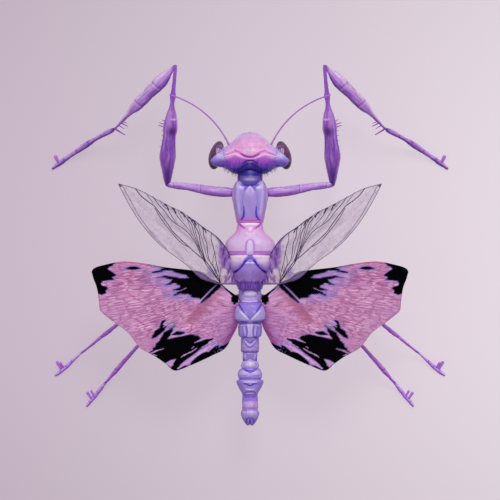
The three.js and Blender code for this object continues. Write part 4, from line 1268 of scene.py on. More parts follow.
def make_eye():
    turn = np.linspace(0.02, 0.98, EYE_STEPS) * math.pi
    size = np.sin(turn)
    y = (EYE_Y[0] + EYE_Y[1]) / 2 + np.cos(turn) * (EYE_Y[1] - EYE_Y[0]) / 2
    centres = np.column_stack([through(*EYE_BEND, y)[:, 0], y, np.full(EYE_STEPS, EYE_Z)])
    reach = (EYE_REACH * size, EYE_REACH * size)
    high = (EYE_HALF_HEIGHT * size, EYE_HALF_HEIGHT * size)
    skin = Skin(rings(centres, X_AXIS, Z_AXIS, reach, high, 1, EYE_SIDES), (72, 26, 66))

    # Facets lie on a spiral over a sphere, which the eye's own shape stretches.
    number = np.arange(FACETS) + 0.5
    rise = 1 - 2 * number / FACETS
    angle = number * math.pi * (3 - math.sqrt(5))
    flat = np.sqrt(1 - rise**2)
    seeds = np.column_stack([flat * np.cos(angle), rise, flat * np.sin(angle)])
    tree = kdtree.KDTree(FACETS)
    for index, seed in enumerate(seeds):
        tree.insert(seed, index)
    tree.balance()
    cosine, sine = even_oval(EYE_SIDES, 1)
    forward = np.broadcast_to(np.cos(turn)[:, None], (EYE_STEPS, EYE_SIDES))
    sphere = np.stack([size[:, None] * cosine, forward, size[:, None] * sine], axis=-1)
    gaps = np.empty(EYE_STEPS * EYE_SIDES)
    facet = np.empty(EYE_STEPS * EYE_SIDES)
    for index, spot in enumerate(sphere.reshape(-1, 3)):
        (_, facet[index], near), (_, _, far) = tree.find_n(spot, 2)
        gaps[index] = far - near
    dome = smoothstep(0.0, 0.12, gaps.reshape(EYE_STEPS, EYE_SIDES))
    own = scattered([facet.reshape(EYE_STEPS, EYE_SIDES)], 95)
    skin.relief += FACET_RISE * dome

    # Maroon outward, nearly black behind and greyish lilac in front. Facets beside the head are
    # pale here and there.
    y = skin.grid[..., 1]
    outward = skin.normal @ X_AXIS
    skin.wash((112, 74, 114), smoothstep(19.0, 20.4, y) * 0.7)
    skin.wash((40, 8, 46), smoothstep(17.4, 15.9, y) * 0.9)
    skin.wash((92, 36, 84), smoothstep(0.3, 0.9, outward) * smoothstep(16.4, 17.6, y) * 0.4)
    skin.wash((36, 10, 36), smoothstep(0.4, 0.9, own) * 0.5)
    inside = smoothstep(0.5, 0.0, outward) * smoothstep(16.0, 17.2, y) * smoothstep(20.6, 19.2, y)
    skin.wash((50, 20, 66), inside * dome * 0.6)
    skin.wash((226, 206, 234), smoothstep(0.5, 0.45, own) * dome * inside * 0.9)
    lattice = (1 - dome) * smoothstep(15.8, 17.0, y) * smoothstep(20.8, 19.6, y)
    skin.wash((176, 140, 190), lattice * (0.4 + 0.3 * inside))
    place_pair("eye", [skin.shape()], EYE, "eye")


def limb_rings(path, stations, thickness, columns, rim, step=STEP):
    """Rings along a path, from stations (share of its length, half width). Returns the rings,
    each one's share of the length and the ways across."""
    dense = curve(path)
    length = lengths_of(dense)[-1]
    places = ticks(length, step, rim)
    centres = places_on(dense, places)
    across, up = ways_across(unit(np.gradient(centres, places, axis=0)), Z_AXIS)
    knots = [share * length for share, _ in stations]
    wide = through(knots, [half for _, half in stations], places)[:, 0] - drawn_in(places, rim)
    high = wide * thickness
    grid = rings(centres, across, up, (wide, wide), (high, high), 1, columns)
    return grid, places / length, across


# A feeler's root, the point that bows it, and its tip.
ANTENNA_BOW = [(4.2, 20.2, 12.8), (7.8, 27.7, 17.6), (16.1, 30.2, 15.6)]
ANTENNA_STATIONS = [(0, 0.2), (0.03, 0.22), (0.06, 0.15), (0.1, 0.18), (0.13, 0.14), (1, 0.12)]
ANTENNA_BEADS = 48


def make_antennae():
    path = bow(*np.array(ANTENNA_BOW), np.linspace(0, 1, 60)[:, None])
    grid, share, _ = limb_rings(path, ANTENNA_STATIONS, 1, 14, rim=0.08, step=0.08)
    skin = Skin(grid, (176, 118, 208))
    along = skin.along(share)
    beads = skin.beads(share, ANTENNA_BEADS) * smoothstep(0.1, 0.16, along)
    skin.relief += 0.03 * beads
    skin.wash((130, 78, 172), (1 - beads) * 0.4)
    skin.wash((200, 156, 218), smoothstep(0.45, 0.0, along) * 0.6)
    skin.wash((160, 92, 196), smoothstep(0.5, 1.0, along) * 0.6)
    place_pair("antenna", [skin.shape()], LIMB, "violet_shell")


# The mouthparts' stations are (height, half width, half depth) round one upright axis.
MOUTH_STATIONS = [
    (4.9, 0.9, 0.85), (3.9, 1.2, 1.05), (3.0, 1.1, 0.95), (2.3, 0.78, 0.72), (1.9, 0.4, 0.4),
]
MOUTH_Y = 18.3
MOUTH_SQUARENESS = 0.85
MOUTH_COLUMNS = 96
MOUTH_RIM = 0.25
MOUTH_STEP = 0.07
PALPS = (
    [(0.75, 18.9, 4.5), (1.15, 19.3, 3.9), (1.1, 19.25, 3.0), (0.75, 19.1, 2.3)],
    [(0.45, 17.6, 4.2), (0.8, 17.35, 3.5), (0.75, 17.4, 2.8), (0.5, 17.5, 2.2)],
)
PALP_STATIONS = [(0, 0.16), (0.9, 0.12), (1, 0.08)]
PALP_BEADS = 3


def make_mouthparts():
    """Lip, jaws and palps below the face."""
    top = MOUTH_STATIONS[0][0]
    places = ticks(top - MOUTH_STATIONS[-1][0], MOUTH_STEP, MOUTH_RIM)
    knots = [top - station[0] for station in MOUTH_STATIONS]
    wide, deep = through(knots, [station[1:] for station in MOUTH_STATIONS], places).T
    inward = drawn_in(places, MOUTH_RIM)
    centres = np.column_stack([0 * places, MOUTH_Y + 0 * places, top - places])
    reach, high = wide - inward, deep - inward
    both = (reach, reach), (high, high)
    grid = rings(centres, X_AXIS, Y_AXIS, *both, MOUTH_SQUARENESS, MOUTH_COLUMNS)
    skin = Skin(grid, (160, 120, 204))
    skin.line((88, 50, 140), [(0, 4.0), (0, 1.8)], 0.12, 0.9, -0.18, "front")
    skin.line((104, 64, 160), [(0, 4.1), (0.8, 3.7), (1.2, 3.2)], 0.12, 0.8, -0.14, "front")
    skin.spot((196, 164, 224), (0.5, 3.1), (0.35, 0.5), 0.7, 0.08, "front")
    shapes = [skin.shape()]
    for path in PALPS:
        grid, share, _ = limb_rings(path, PALP_STATIONS, 1, 12, rim=0.05, step=0.08)
        palp = Skin(grid, (172, 132, 210))
        beads = palp.beads(share, PALP_BEADS)
        palp.relief += 0.04 * beads
        palp.wash((110, 70, 160), smoothstep(0.4, 0.0, beads))
        made = palp.shape()
        shapes += [made, made.mirrored()]
    place("mouthparts_shell", shapes, SHELL, "violet_shell", ["mouthparts"])


# ---- Legs ----
# Each segment follows a path of points. Its stations are (share of its length, half width), and
# its thickness is its height over its width.
FORELEG = {
    "coxa": {
        "path": [(3.1, 10.7, 10.8), (7.6, 11.0, 10.5), (12.0, 11.8, 10.1), (16.6, 12.3, 9.8)],
        "stations": [(0, 0.8), (0.15, 1.0), (0.35, 0.98), (0.6, 0.8), (0.85, 0.68), (1, 0.5)],
        "thickness": 0.9,
    },
    "femur": {
        "path": [(16.5, 12.0, 9.9), (16.45, 18.0, 10.6), (15.85, 25.0, 11.6), (14.86, 36.2, 12.8)],
        "stations": [
            (0, 0.35), (0.05, 0.74), (0.12, 1.1), (0.18, 1.4), (0.25, 1.63), (0.33, 1.46),
            (0.41, 1.28), (0.48, 1.44), (0.54, 1.25), (0.6, 0.95), (0.65, 0.56), (0.69, 0.42),
            (0.74, 0.6), (0.79, 0.42), (0.86, 0.36), (0.95, 0.36), (1, 0.25),
        ],
        "thickness": 0.68,
    },
    "tibia": {
        "path": [(15.0, 36.0, 12.8), (18.2, 32.6, 11.4), (21.2, 29.7, 9.6), (27.3, 23.5, 5.2)],
        "stations": [
            (0, 0.3), (0.08, 0.62), (0.16, 1.08), (0.25, 1.36), (0.36, 1.26), (0.44, 1.14),
            (0.5, 1.2), (0.6, 1.1), (0.66, 0.96), (0.71, 0.68), (0.76, 0.5), (0.84, 0.36),
            (0.94, 0.27), (1, 0.28),
        ],
        "thickness": 0.7,
    },
    "tarsus": {
        "path": [
            (27.3, 23.5, 5.2), (31.0, 21.6, 3.2), (35.0, 19.0, 1.3), (38.4, 16.7, 0.32),
            (40.0, 15.5, 0.3),
        ],
        "stations": [
            (0, 0.34), (0.08, 0.56), (0.2, 0.44), (0.3, 0.4), (0.42, 0.6), (0.56, 0.5),
            (0.7, 0.42), (0.85, 0.5), (0.95, 0.35), (1, 0.25),
        ],
        "thickness": 1,
    },
}
WALKING_STATIONS = {
    "midleg": {
        "coxa": [(0, 0.95), (0.5, 1.0), (1, 0.8)],
        "femur": [(0, 0.6), (0.12, 0.82), (0.35, 0.8), (0.65, 0.62), (0.92, 0.5), (1, 0.44)],
        "tibia": [
            (0, 0.42), (0.08, 0.48), (0.4, 0.36), (0.52, 0.36), (0.64, 0.42), (0.76, 0.3),
            (0.9, 0.25), (1, 0.25),
        ],
        "tarsus": [(0, 0.21), (0.22, 0.22), (0.45, 0.36), (0.68, 0.42), (0.88, 0.36), (1, 0.2)],
    },
    "hindleg": {
        "coxa": [(0, 0.7), (0.5, 0.7), (1, 0.6)],
        "femur": [(0, 0.5), (0.12, 0.66), (0.35, 0.8), (0.65, 0.62), (0.92, 0.5), (1, 0.44)],
        "tibia": [
            (0, 0.42), (0.08, 0.46), (0.35, 0.36), (0.55, 0.34), (0.72, 0.44), (0.82, 0.46),
            (0.91, 0.33), (1, 0.26),
        ],
        "tarsus": [(0, 0.28), (0.25, 0.36), (0.6, 0.4), (0.88, 0.34), (1, 0.2)],
    },
}
WALKING_LEGS = {
    "midleg": {
        "coxa": [(2.2, -3.0, 8.0), (3.9, -4.2, 6.7)],
        "femur": [(3.9, -4.2, 6.8), (12.0, -7.6, 10.2), (20.0, -10.6, 11.6)],
        "tibia": [(20.0, -10.6, 11.6), (26.7, -15.8, 6.6), (33.8, -21.4, 1.4)],
        "tarsus": [(33.8, -21.4, 1.4), (35.6, -23.0, 0.7), (37.6, -24.8, 0.3), (39.4, -26.2, 0.3)],
    },
    "hindleg": {
        "coxa": [(1.3, -7.0, 8.2), (1.6, -10.0, 7.0)],
        "femur": [(1.6, -10.0, 7.0), (9.5, -12.4, 9.8), (17.0, -14.2, 11.2)],
        "tibia": [(17.0, -14.2, 11.2), (22.9, -20.5, 6.2), (29.1, -27.5, 1.3)],
        "tarsus": [(29.1, -27.5, 1.3), (30.5, -29.3, 0.7), (31.8, -30.9, 0.3), (33.1, -32.4, 0.3)],
    },
}
# Spines and claws of a segment: root, tip and half width.
SPINES = {
    "foreleg_femur": [
        ((17.0, 23.8, 11.4), (18.35, 24.15, 11.5), 0.17),
        ((16.9, 24.3, 11.4), (18.3, 24.7, 11.5), 0.15),
        ((16.8, 24.9, 11.4), (17.7, 25.3, 11.5), 0.13),
        ((17.1, 22.9, 11.3), (17.85, 23.15, 11.4), 0.07),
        ((17.25, 22.0, 11.2), (17.95, 22.25, 11.3), 0.07),
        ((17.4, 21.0, 11.1), (18.05, 21.25, 11.2), 0.06),
        ((17.6, 19.8, 10.9), (18.2, 20.05, 11.0), 0.06),
        ((17.8, 18.4, 10.7), (18.4, 18.65, 10.8), 0.06),
    ],
    "foreleg_tibia": [
        ((25.8, 25.1, 6.4), (24.6, 24.6, 6.2), 0.13),
        ((26.1, 24.8, 6.1), (24.5, 24.0, 5.8), 0.18),
        ((26.5, 24.3, 5.8), (25.2, 23.5, 5.5), 0.14),
        ((27.1, 23.5, 5.3), (25.1, 22.3, 4.8), 0.22),
    ],
    "foreleg_tarsus": [((38.5, 16.6, 0.4), (39.35, 18.3, 1.0), 0.46)],
    "midleg_tarsus": [
        ((38.0, -24.9, 0.4), (39.0, -23.2, 0.9), 0.42),
        ((37.6, -24.5, 0.5), (38.3, -23.4, 1.1), 0.33),
    ],
    "hindleg_tarsus": [
        ((31.9, -30.9, 0.4), (32.9, -29.4, 0.9), 0.36),
        ((31.45, -30.2, 0.5), (32.1, -29.1, 1.1), 0.31),
    ],
}
LEG_COLOUR = (154, 96, 194)
LIGHT_SIDE = np.array([0.55, 0.62, 0.56])


def paint_femur(skin, along, side):
    """The grasping femur is dark along its middle, and darkest at the elbow. Its edges are painted
    paler, as highlights.
    """
    top = smoothstep(-0.2, 0.4, skin.normal[..., 2])
    core = np.exp(-(((side - 0.05) / 0.6) ** 2)) * top
    grain = noise(along * 9, side * 4, seed=31)
    fine = noise(along * 22, side * 9, seed=32)
    thread = noise(along * 8, side * 13, seed=36)
    skin.wash((118, 56, 164), core * (0.75 + 0.25 * grain))
    # Painted highlights along both edges.
    skin.wash((190, 140, 210), smoothstep(0.5, 0.95, np.abs(side)) * 0.75)
    skin.wash((202, 160, 218), smoothstep(0.1, 0.6, grain + 0.4 * fine) * 0.45)
    skin.wash((84, 30, 134), smoothstep(0.1, 0.6, -grain + 0.4 * fine) * 0.4)
    skin.wash((176, 128, 206), smoothstep(0.15, 0.55, thread) * 0.45)
    skin.wash((88, 34, 138), smoothstep(0.15, 0.55, -thread) * 0.45)
    skin.wash((62, 18, 112), smoothstep(0.26, 0.08, along) * core * 0.9)
    blotch = np.exp(-(((along - 0.455) / 0.035) ** 2) - ((side + 0.25) / 0.4) ** 2)
    skin.wash((66, 16, 102), blotch * top * 0.9)
    dash = np.exp(-(((along - 0.553) / 0.009) ** 2)) * smoothstep(0.4, -0.3, side)
    skin.wash((226, 172, 230), dash * top * 0.9)
    skin.relief += 0.1 * dash - 0.06 * blotch
    skin.wash((180, 126, 206), np.exp(-(((along - 0.6) / 0.04) ** 2)) * top * 0.6)
    skin.wash((146, 74, 190), smoothstep(0.64, 0.7, along) * 0.65)
    skin.relief += (0.06 * grain + 0.03 * thread) * smoothstep(0.7, 0.6, along)


def paint_limb(skin, along, side, dark, mid, light):
    """Dark on the side away from the light, and pale towards it."""
    lit = (skin.normal @ LIGHT_SIDE) * 0.5 + 0.5
    grain = noise(along * 10, side * 4, seed=33)
    fine = noise(along * 30, side * 8, seed=34)
    thread = noise(along * 7, side * 11, seed=35)
    skin.wash(mid, np.ones_like(lit))
    skin.wash(dark, smoothstep(0.64, 0.32, lit + 0.1 * grain))
    skin.wash(light, smoothstep(0.72, 0.96, lit + 0.1 * grain) * 0.9)
    skin.wash(dark, smoothstep(0.2, 0.8, grain) * 0.35)
    skin.wash(light, smoothstep(0.2, 0.8, -grain + 0.4 * fine) * 0.35)
    skin.wash(light, smoothstep(0.25, 0.7, thread) * smoothstep(0.4, 0.8, lit) * 0.35)
    skin.wash(dark, smoothstep(0.25, 0.7, -thread) * 0.3)
    skin.wash(dark, smoothstep(0.05, 0.0, along) * 0.6 + smoothstep(0.96, 1.0, along) * 0.4)
    skin.relief += 0.04 * grain + 0.015 * fine + 0.015 * thread


# Each kind of segment's colours: painted shade on the side away from the light, the middle colour, and
# painted light on the side towards it.
COXA_TONES = ((100, 44, 148), (140, 80, 184), (180, 136, 212))
FEMUR_TONES = ((104, 44, 152), (146, 80, 188), (190, 140, 216))
TARSUS_TONES = ((134, 62, 198), (176, 112, 222), (214, 178, 236))
LIMB_TONES = {
    "foreleg_coxa": ((112, 52, 158), (160, 100, 198), (208, 174, 228)),
    "foreleg_tibia": ((98, 38, 150), (166, 108, 204), (226, 202, 232)),
    "foreleg_tarsus": ((66, 18, 122), (138, 74, 184), (200, 158, 222)),
    "midleg_coxa": COXA_TONES,
    "hindleg_coxa": COXA_TONES,
    "midleg_femur": FEMUR_TONES,
    "hindleg_femur": FEMUR_TONES,
    "midleg_tibia": ((142, 42, 192), (170, 84, 216), (210, 160, 232)),
    "hindleg_tibia": ((144, 42, 194), (172, 80, 216), (210, 156, 232)),
    "midleg_tarsus": TARSUS_TONES,
    "hindleg_tarsus": TARSUS_TONES,
}
BLUNT_FROM = 0.3  # spines of more than this half width are blunt claws
SPINE_BEND = (0, 0, 0.12)
TARSUS_BEADS = 5
HAIRS = {"coxa": 10, "femur": 40, "tibia": 40, "tarsus": 16}
# Where creases ring a segment, as shares of its length.
CREASES = {
    "foreleg_coxa": (0.5, 0.9),
    "foreleg_tibia": (0.28, 0.57),
    "midleg_tibia": (0.7,),
    "hindleg_tibia": (0.8,),
}


HAIR_HALF = 0.028
HAIR_SUNK = 0.03


def limb_hairs(grid, normal, count, seed, length, colour):
    """Short hairs that stand on a limb and lean towards its end."""
    made = []
    rows, columns = grid.shape[:2]
    numbers = np.arange(count)
    picks, others = [scattered([numbers, np.full(count, own)], seed) for own in (seed, seed + 1)]
    for number, pick, other in zip(numbers, picks, others):
        row = int((0.08 + 0.84 * (number + pick) / count) * (rows - 2))
        column = int(other * columns)
        root, out = grid[row, column], normal[row, column]
        way = unit(grid[min(row + 5, rows - 1), column] - root)
        tip = root + (out * 0.75 + way * 0.65) * length * (0.7 + 0.6 * pick)
        made.append(thorn(root - out * HAIR_SUNK, tip, HAIR_HALF, colour, out * 0.05, steps=4))
    return made


LOBE_SPAN = (0.32, 0.86)  # from and to which share of the femur's length
LOBE_DEPTH = 2.1
LOBE_STEP = 0.16
LOBE_RIM = 0.05
LOBE_HALF_THICKNESS = 0.1
LOBE_SQUARENESS = 0.6
LOBE_COLUMNS = 48


def thigh_lobe(path):
    """The petal-like lobe that hangs under a walking leg's femur."""
    dense = curve(path)
    measured = lengths_of(dense)
    start, end = [share * measured[-1] for share in LOBE_SPAN]
    places = ticks(end - start, LOBE_STEP, LOBE_RIM)
    share = places / places[-1]
    spine = places_on(dense, start + places)
    depth = LOBE_DEPTH * np.sin(math.pi * share) ** 0.7 + 0.3
    centres = spine - Z_AXIS * (depth / 2)[:, None]
    across = unit(np.cross(np.gradient(centres, places, axis=0), Z_AXIS))
    thin = np.full(len(places), LOBE_HALF_THICKNESS)
    both = (thin, thin), (depth / 2, depth / 2)
    grid = rings(centres, across, Z_AXIS, *both, LOBE_SQUARENESS, LOBE_COLUMNS)
    skin = Skin(grid, (168, 100, 200))
    down = (centres[:, None, 2] - grid[..., 2]) / (depth / 2)[:, None]
    rays = noise(skin.along(share) * 16, down * 1.2, seed=52)
    skin.wash((206, 154, 220), smoothstep(-0.2, 0.9, down) * 0.7)
    skin.wash((118, 56, 162), smoothstep(0.2, 0.6, rays) * 0.5)
    skin.wash((120, 60, 168), smoothstep(0.86, 1.0, down) * 0.6)
    skin.relief += 0.03 * rays
    return skin.shape()


def make_segment(leg, segment, path, stations, thickness):
    name = f"{leg}_{segment}"
    widest = max(half for _, half in stations)
    columns = 4 * max(8, round(1.6 * widest / STEP))
    ends = min(stations[0][1], stations[-1][1])
    grid, share, across = limb_rings(path, stations, thickness, columns, rim=ends * 0.6)
    skin = Skin(grid, LEG_COLOUR)
    skin.roughen(0.03, 0.6, seed=50)
    skin.roughen(0.012, 0.22, seed=51)
    along = skin.along(share)
    side = (skin.normal * across[:, None]).sum(axis=2)
    if name in LIMB_TONES:
        paint_limb(skin, along, side, *LIMB_TONES[name])
    else:
        paint_femur(skin, along, side)
    if name == "foreleg_tibia":
        shaded = smoothstep(0.2, -0.6, skin.normal @ LIGHT_SIDE)
        skin.wash((70, 18, 124), np.exp(-(((along - 0.7) / 0.035) ** 2)) * shaded, 0.8)
    # Each crease is a dark line of painted shade, with a pale line of painted highlight just beyond it.
    for place_along in CREASES.get(name, []):
        lean = along - place_along + 0.012 * side
        skin.wash((92, 40, 146), np.exp(-((lean / 0.008) ** 2)), 0.4, -0.016)
        skin.wash((232, 210, 238), np.exp(-(((lean - 0.022) / 0.012) ** 2)), 0.25, 0.0075)
    if segment == "tarsus":
        joints = smoothstep(0.35, 0.0, skin.beads(share, TARSUS_BEADS))
        skin.relief -= 0.05 * joints
        skin.wash((110, 50, 156), joints * 0.6)
    shapes = [skin.shape()]
    if segment == "femur" and leg in WALKING_LEGS:
        shapes.append(thigh_lobe(path))
    for root, tip, half in SPINES.get(name, []):
        if half > BLUNT_FROM:
            shapes.append(claw(root, tip, half, (182, 112, 218), SPINE_BEND))
        else:
            shapes.append(thorn(root, tip, half, (146, 70, 190), SPINE_BEND, steps=8, taper=0.6))
    shapes += limb_hairs(grid, skin.normal, HAIRS[segment], 60, 0.38, (140, 96, 180))
    place_pair(name, shapes, LIMB, "violet_shell")


def make_legs():
    for segment, measures in FORELEG.items():
        make_segment("foreleg", segment, **measures)
    for leg, paths in WALKING_LEGS.items():
        for segment, path in paths.items():
            make_segment(leg, segment, path, WALKING_STATIONS[leg][segment], 1)


CERCUS_BEADS = 5


def make_cerci():
    """The two short feelers at the tail."""
    path = [(0.4, -35.0, 9.75), (0.46, -35.95, 9.7)]
    stations = [(0, 0.3), (0.5, 0.34), (1, 0.2)]
    grid, share, _ = limb_rings(path, stations, 1, 24, rim=0.12, step=0.06)
    skin = Skin(grid, (104, 72, 178))
    skin.relief += 0.03 * skin.beads(share, CERCUS_BEADS)
    shapes = [skin.shape(), *limb_hairs(grid, skin.normal, 12, 71, 0.3, (120, 90, 180))]
    place_pair("cercus", shapes, SHELL, "lilac_shell")


# ---- Wings: sheets between an upper and a lower edge ----
LEAST_DEPTH = 0.12  # from edge to edge where they meet, so that no face collapses


class Sheet:
    """A thin closed sheet. Its edges run from root to tip, with x growing along both. The edges
    are kept as y and z at many x."""

    def __init__(self, upper, lower, step, half_thickness):
        upper, lower = curve(upper), curve(lower)
        for edge in (upper, lower):
            edge[:, 0] = np.maximum.accumulate(edge[:, 0]) + 1e-7 * np.arange(len(edge))
        start = max(upper[0, 0], lower[0, 0])
        end = min(upper[-1, 0], lower[-1, 0])
        x = np.linspace(start, end, 4000)
        self.x = x
        self.upper = resampled(x, upper[:, 0], upper[:, 1:])
        self.lower = resampled(x, lower[:, 0], lower[:, 1:])
        run = np.diff(x)
        rise = np.maximum(np.abs(np.diff(self.upper[:, 0])), np.abs(np.diff(self.lower[:, 0])))
        measured = np.concatenate([[0], np.cumsum(np.hypot(run, rise))])
        columns = round(measured[-1] / step) + 1
        across = np.interp(np.linspace(0, measured[-1], columns), measured, x)
        tall = (self.upper[:, 0] - self.lower[:, 0]).max()
        rows = round(tall / step) + 1
        share = np.linspace(0, 1, rows)[None, :]
        low = resampled(across, x, self.lower)
        high = resampled(across, x, self.upper)
        deep = np.maximum(high[:, :1] - low[:, :1], LEAST_DEPTH)
        y = low[:, :1] + deep * share
        z = low[:, 1:] + (high[:, 1:] - low[:, 1:]) * share
        self.grid = np.stack([np.broadcast_to(across[:, None], y.shape), y, z], axis=-1)
        self.half = np.full(y.shape, half_thickness)
        self.relief = np.zeros(y.shape)
        self.colour = np.full((*y.shape, 4), 255.0)
        self.colour[..., 3] = 1

    def height(self, x, y):
        """The sheet's height at places on it."""
        low = resampled(x, self.x, self.lower)
        high = resampled(x, self.x, self.upper)
        deep = np.maximum(high[:, 0] - low[:, 0], 1e-6)
        share = np.clip((y - low[:, 0]) / deep, 0, 1)
        return low[:, 1] + (high[:, 1] - low[:, 1]) * share

    def paint(self, colour, mask):
        painted = self.colour[..., : len(colour)]
        painted += (np.asarray(colour) - painted) * mask[..., None]

    def shape(self):
        rows, columns = self.half.shape
        index = np.arange(rows * columns).reshape(rows, columns)
        corners = [index[:-1, :-1], index[1:, :-1], index[1:, 1:], index[:-1, 1:]]
        over = np.stack(corners, axis=-1).reshape(-1, 4)
        under = over[:, ::-1] + rows * columns
        rim = np.concatenate([index[0, :-1], index[:-1, -1], index[-1, :0:-1], index[:0:-1, 0]])
        after = np.roll(rim, -1)
        beneath = rows * columns
        side = np.stack([rim, after, after + beneath, rim + beneath], axis=-1)
        lift = np.zeros_like(self.grid)
        lift[..., 2] = self.relief + self.half
        top = (self.grid + lift).reshape(-1, 3)
        lift[..., 2] = self.relief - self.half
        bottom = (self.grid + lift).reshape(-1, 3)
        points = np.vstack([top, bottom])
        flat = self.grid[..., :2].reshape(-1, 2)
        spread = (flat - flat.min(axis=0)) / np.ptp(flat, axis=0)
        top_uv = spread * [1, 0.49]
        uv = np.vstack([top_uv, top_uv + [0, 0.5]])
        side_uv = uv[np.stack([rim, after, after, rim], axis=-1)]
        quads = np.vstack([over, under, side])
        corner_uv = np.vstack([uv[over.ravel()], uv[under.ravel()], side_uv.reshape(-1, 2)])
        colours = np.vstack([self.colour.reshape(-1, 4)] * 2)
        return Shape(points, quads, np.empty((0, 3), int), colours, corner_uv)


HINDWING_UPPER = [
    (2.3, -10.2, 12.7), (4.2, -8.87, 13.0), (5.9, -7.42, 13.3), (7.2, -6.7, 13.4),
    (9.2, -5.3, 13.55), (11.6, -4.85, 13.8), (17.0, -4.22, 14.3), (22.0, -3.35, 14.9),
    (25.6, -3.1, 15.3), (29.0, -3.75, 15.5), (30.6, -4.2, 15.55), (31.35, -4.65, 15.6),
    (31.6, -5.2, 15.6),
]
HINDWING_LOWER = [
    (2.3, -10.2, 12.7), (2.32, -12.6, 12.6), (2.4, -15.6, 12.4), (3.6, -18.2, 12.3),
    (5.0, -20.5, 12.3), (7.6, -21.92, 12.3), (12.2, -24.0, 12.4), (15.1, -24.9, 12.5),
    (16.8, -23.6, 12.7), (18.6, -22.3, 12.9), (20.2, -21.4, 13.1), (21.9, -20.4, 13.3),
    (22.7, -19.5, 13.5), (24.4, -17.3, 13.9), (27.6, -14.9, 14.5), (29.9, -12.9, 15.0),
    (30.05, -12.3, 15.05), (30.15, -11.0, 15.2), (30.6, -8.2, 15.4), (31.2, -6.6, 15.5),
    (31.6, -5.2, 15.6),
]
# The wrinkles spread from one point, and in the back part of the wing from another.
FAN_ROOT = (-10.0, -6.5)
BACK_FAN_ROOT = (-2.5, -14.0)
BACK_FAN = [
    (5.6, -7.4), (9.9, -11.4), (12.4, -14.8), (16.5, -16.6), (23.0, -20.6), (16.0, -27.0),
    (0.0, -24.0), (0.0, -10.0),
]
BLACK_PATCHES = [
    # The outer corner, with a pink finger reaching into it.
    [
        (26.8, -2.9), (26.9, -3.4), (27.7, -3.9), (28.6, -4.5), (28.3, -4.85), (27.1, -5.5),
        (26.75, -5.8), (27.7, -6.2), (27.2, -6.6), (28.4, -6.8), (29.5, -7.0), (29.9, -7.4),
        (29.5, -7.85), (28.3, -8.4), (28.8, -8.7), (28.9, -9.3), (29.6, -9.7), (30.2, -9.3),
        (33.0, -9.8), (33.0, -2.5),
    ],
    # Flames that lick outward from the root along the leading edge.
    [
        (20.6, -3.0), (20.4, -3.7), (18.5, -4.0), (16.9, -4.35), (19.4, -5.3), (17.4, -4.95),
        (15.7, -4.85), (14.1, -5.4), (12.7, -5.6), (12.2, -6.3), (13.7, -6.55), (15.2, -6.4),
        (17.0, -6.0), (19.4, -6.45), (17.4, -6.3), (15.4, -6.6), (15.7, -7.25), (16.8, -7.75),
        (15.1, -7.5), (14.0, -7.8), (14.1, -8.3), (15.2, -8.9), (13.6, -8.8), (15.1, -9.75),
        (13.9, -9.4), (12.4, -9.6), (11.1, -10.25), (10.0, -10.35), (9.7, -10.7), (9.7, -11.25),
        (8.7, -10.65), (8.0, -10.15), (7.5, -9.6), (6.9, -9.05), (6.2, -8.4), (5.8, -7.7),
        (5.3, -7.4), (5.3, -6.0), (12.0, -4.0), (20.0, -2.8),
    ],
    # Beside the body.
    [
        (5.9, -7.4), (4.6, -8.75), (3.9, -9.4), (3.5, -10.0), (3.7, -11.0), (3.1, -11.6),
        (2.5, -11.2), (1.8, -11.0), (1.8, -9.6), (5.8, -7.2),
    ],
    # The large one at the trailing edge.
    [
        (21.0, -22.4), (19.6, -21.0), (18.7, -19.8), (17.9, -18.7), (17.2, -17.4), (16.2, -16.8),
        (15.5, -16.55), (15.6, -17.1), (16.6, -18.7), (14.8, -18.4), (13.3, -18.1), (11.7, -17.75),
        (10.6, -17.85), (9.7, -18.3), (10.9, -19.25), (9.5, -18.9), (8.8, -18.6), (7.5, -18.6),
        (8.2, -19.1), (8.3, -19.6), (9.3, -20.2), (10.3, -20.85), (11.6, -21.9), (12.4, -22.6),
        (13.9, -23.6), (14.4, -24.5), (13.2, -24.1), (12.2, -23.9), (13.4, -25.0), (16.5, -25.5),
    ],
    # A blade before it, with a thin finger, and a small streak.
    [
        (19.6, -18.5), (18.9, -17.0), (17.95, -16.35), (17.85, -15.8), (17.65, -15.2), (17.0, -14.8),
        (17.4, -15.35), (17.6, -16.0), (16.7, -15.95), (17.3, -16.85), (18.1, -17.6), (18.9, -18.15),
    ],
    [(15.5, -17.7), (14.6, -17.2), (13.2, -17.35), (14.3, -17.75)],
    # A strip along the edge near the body.
    [
        (12.1, -24.4), (11.8, -23.35), (11.0, -22.4), (10.2, -21.7), (9.5, -21.2), (8.6, -21.05),
        (8.3, -21.5), (7.8, -21.0), (7.1, -20.4), (6.2, -20.1), (4.9, -19.65), (3.9, -19.3),
        (3.4, -20.5), (11.5, -24.8),
    ],
]
# Each stroke's line and half width.
LILAC_STROKES = [
    (
        [(14.4, -24.5, 0.5), (13.1, -23.5), (11.4, -22.35, 1.1), (9.9, -21.15, 1.2), (8.3, -20.15),
         (6.8, -19.5, 0.7)],
        0.42,
    ),
    ([(13.8, -22.2, 0.4), (12.9, -21.65), (11.8, -21.15, 1.2), (10.6, -20.4)], 0.16),
    ([(11.65, -20.45, 0.8), (11.2, -20.1, 0.6)], 0.13),
    ([(11.0, -19.3, 0.3), (9.7, -18.75, 1.2), (8.6, -18.4, 0.7)], 0.2),
    ([(19.9, -21.5), (18.8, -21.0), (17.2, -20.5, 0.4)], 0.15),
    ([(19.3, -21.8), (18.5, -21.9, 0.4)], 0.1),
    ([(14.9, -9.3, 0.5), (12.6, -8.4, 0.5)], 0.09),
    ([(17.3, -16.15, 0.7), (16.7, -15.75)], 0.11),
    ([(16.3, -15.5, 0.6), (15.2, -15.0)], 0.1),
]
LILAC_NOTCH = [(16.9, -23.5), (15.9, -22.95), (14.8, -22.6), (15.3, -23.5), (15.8, -24.3)]
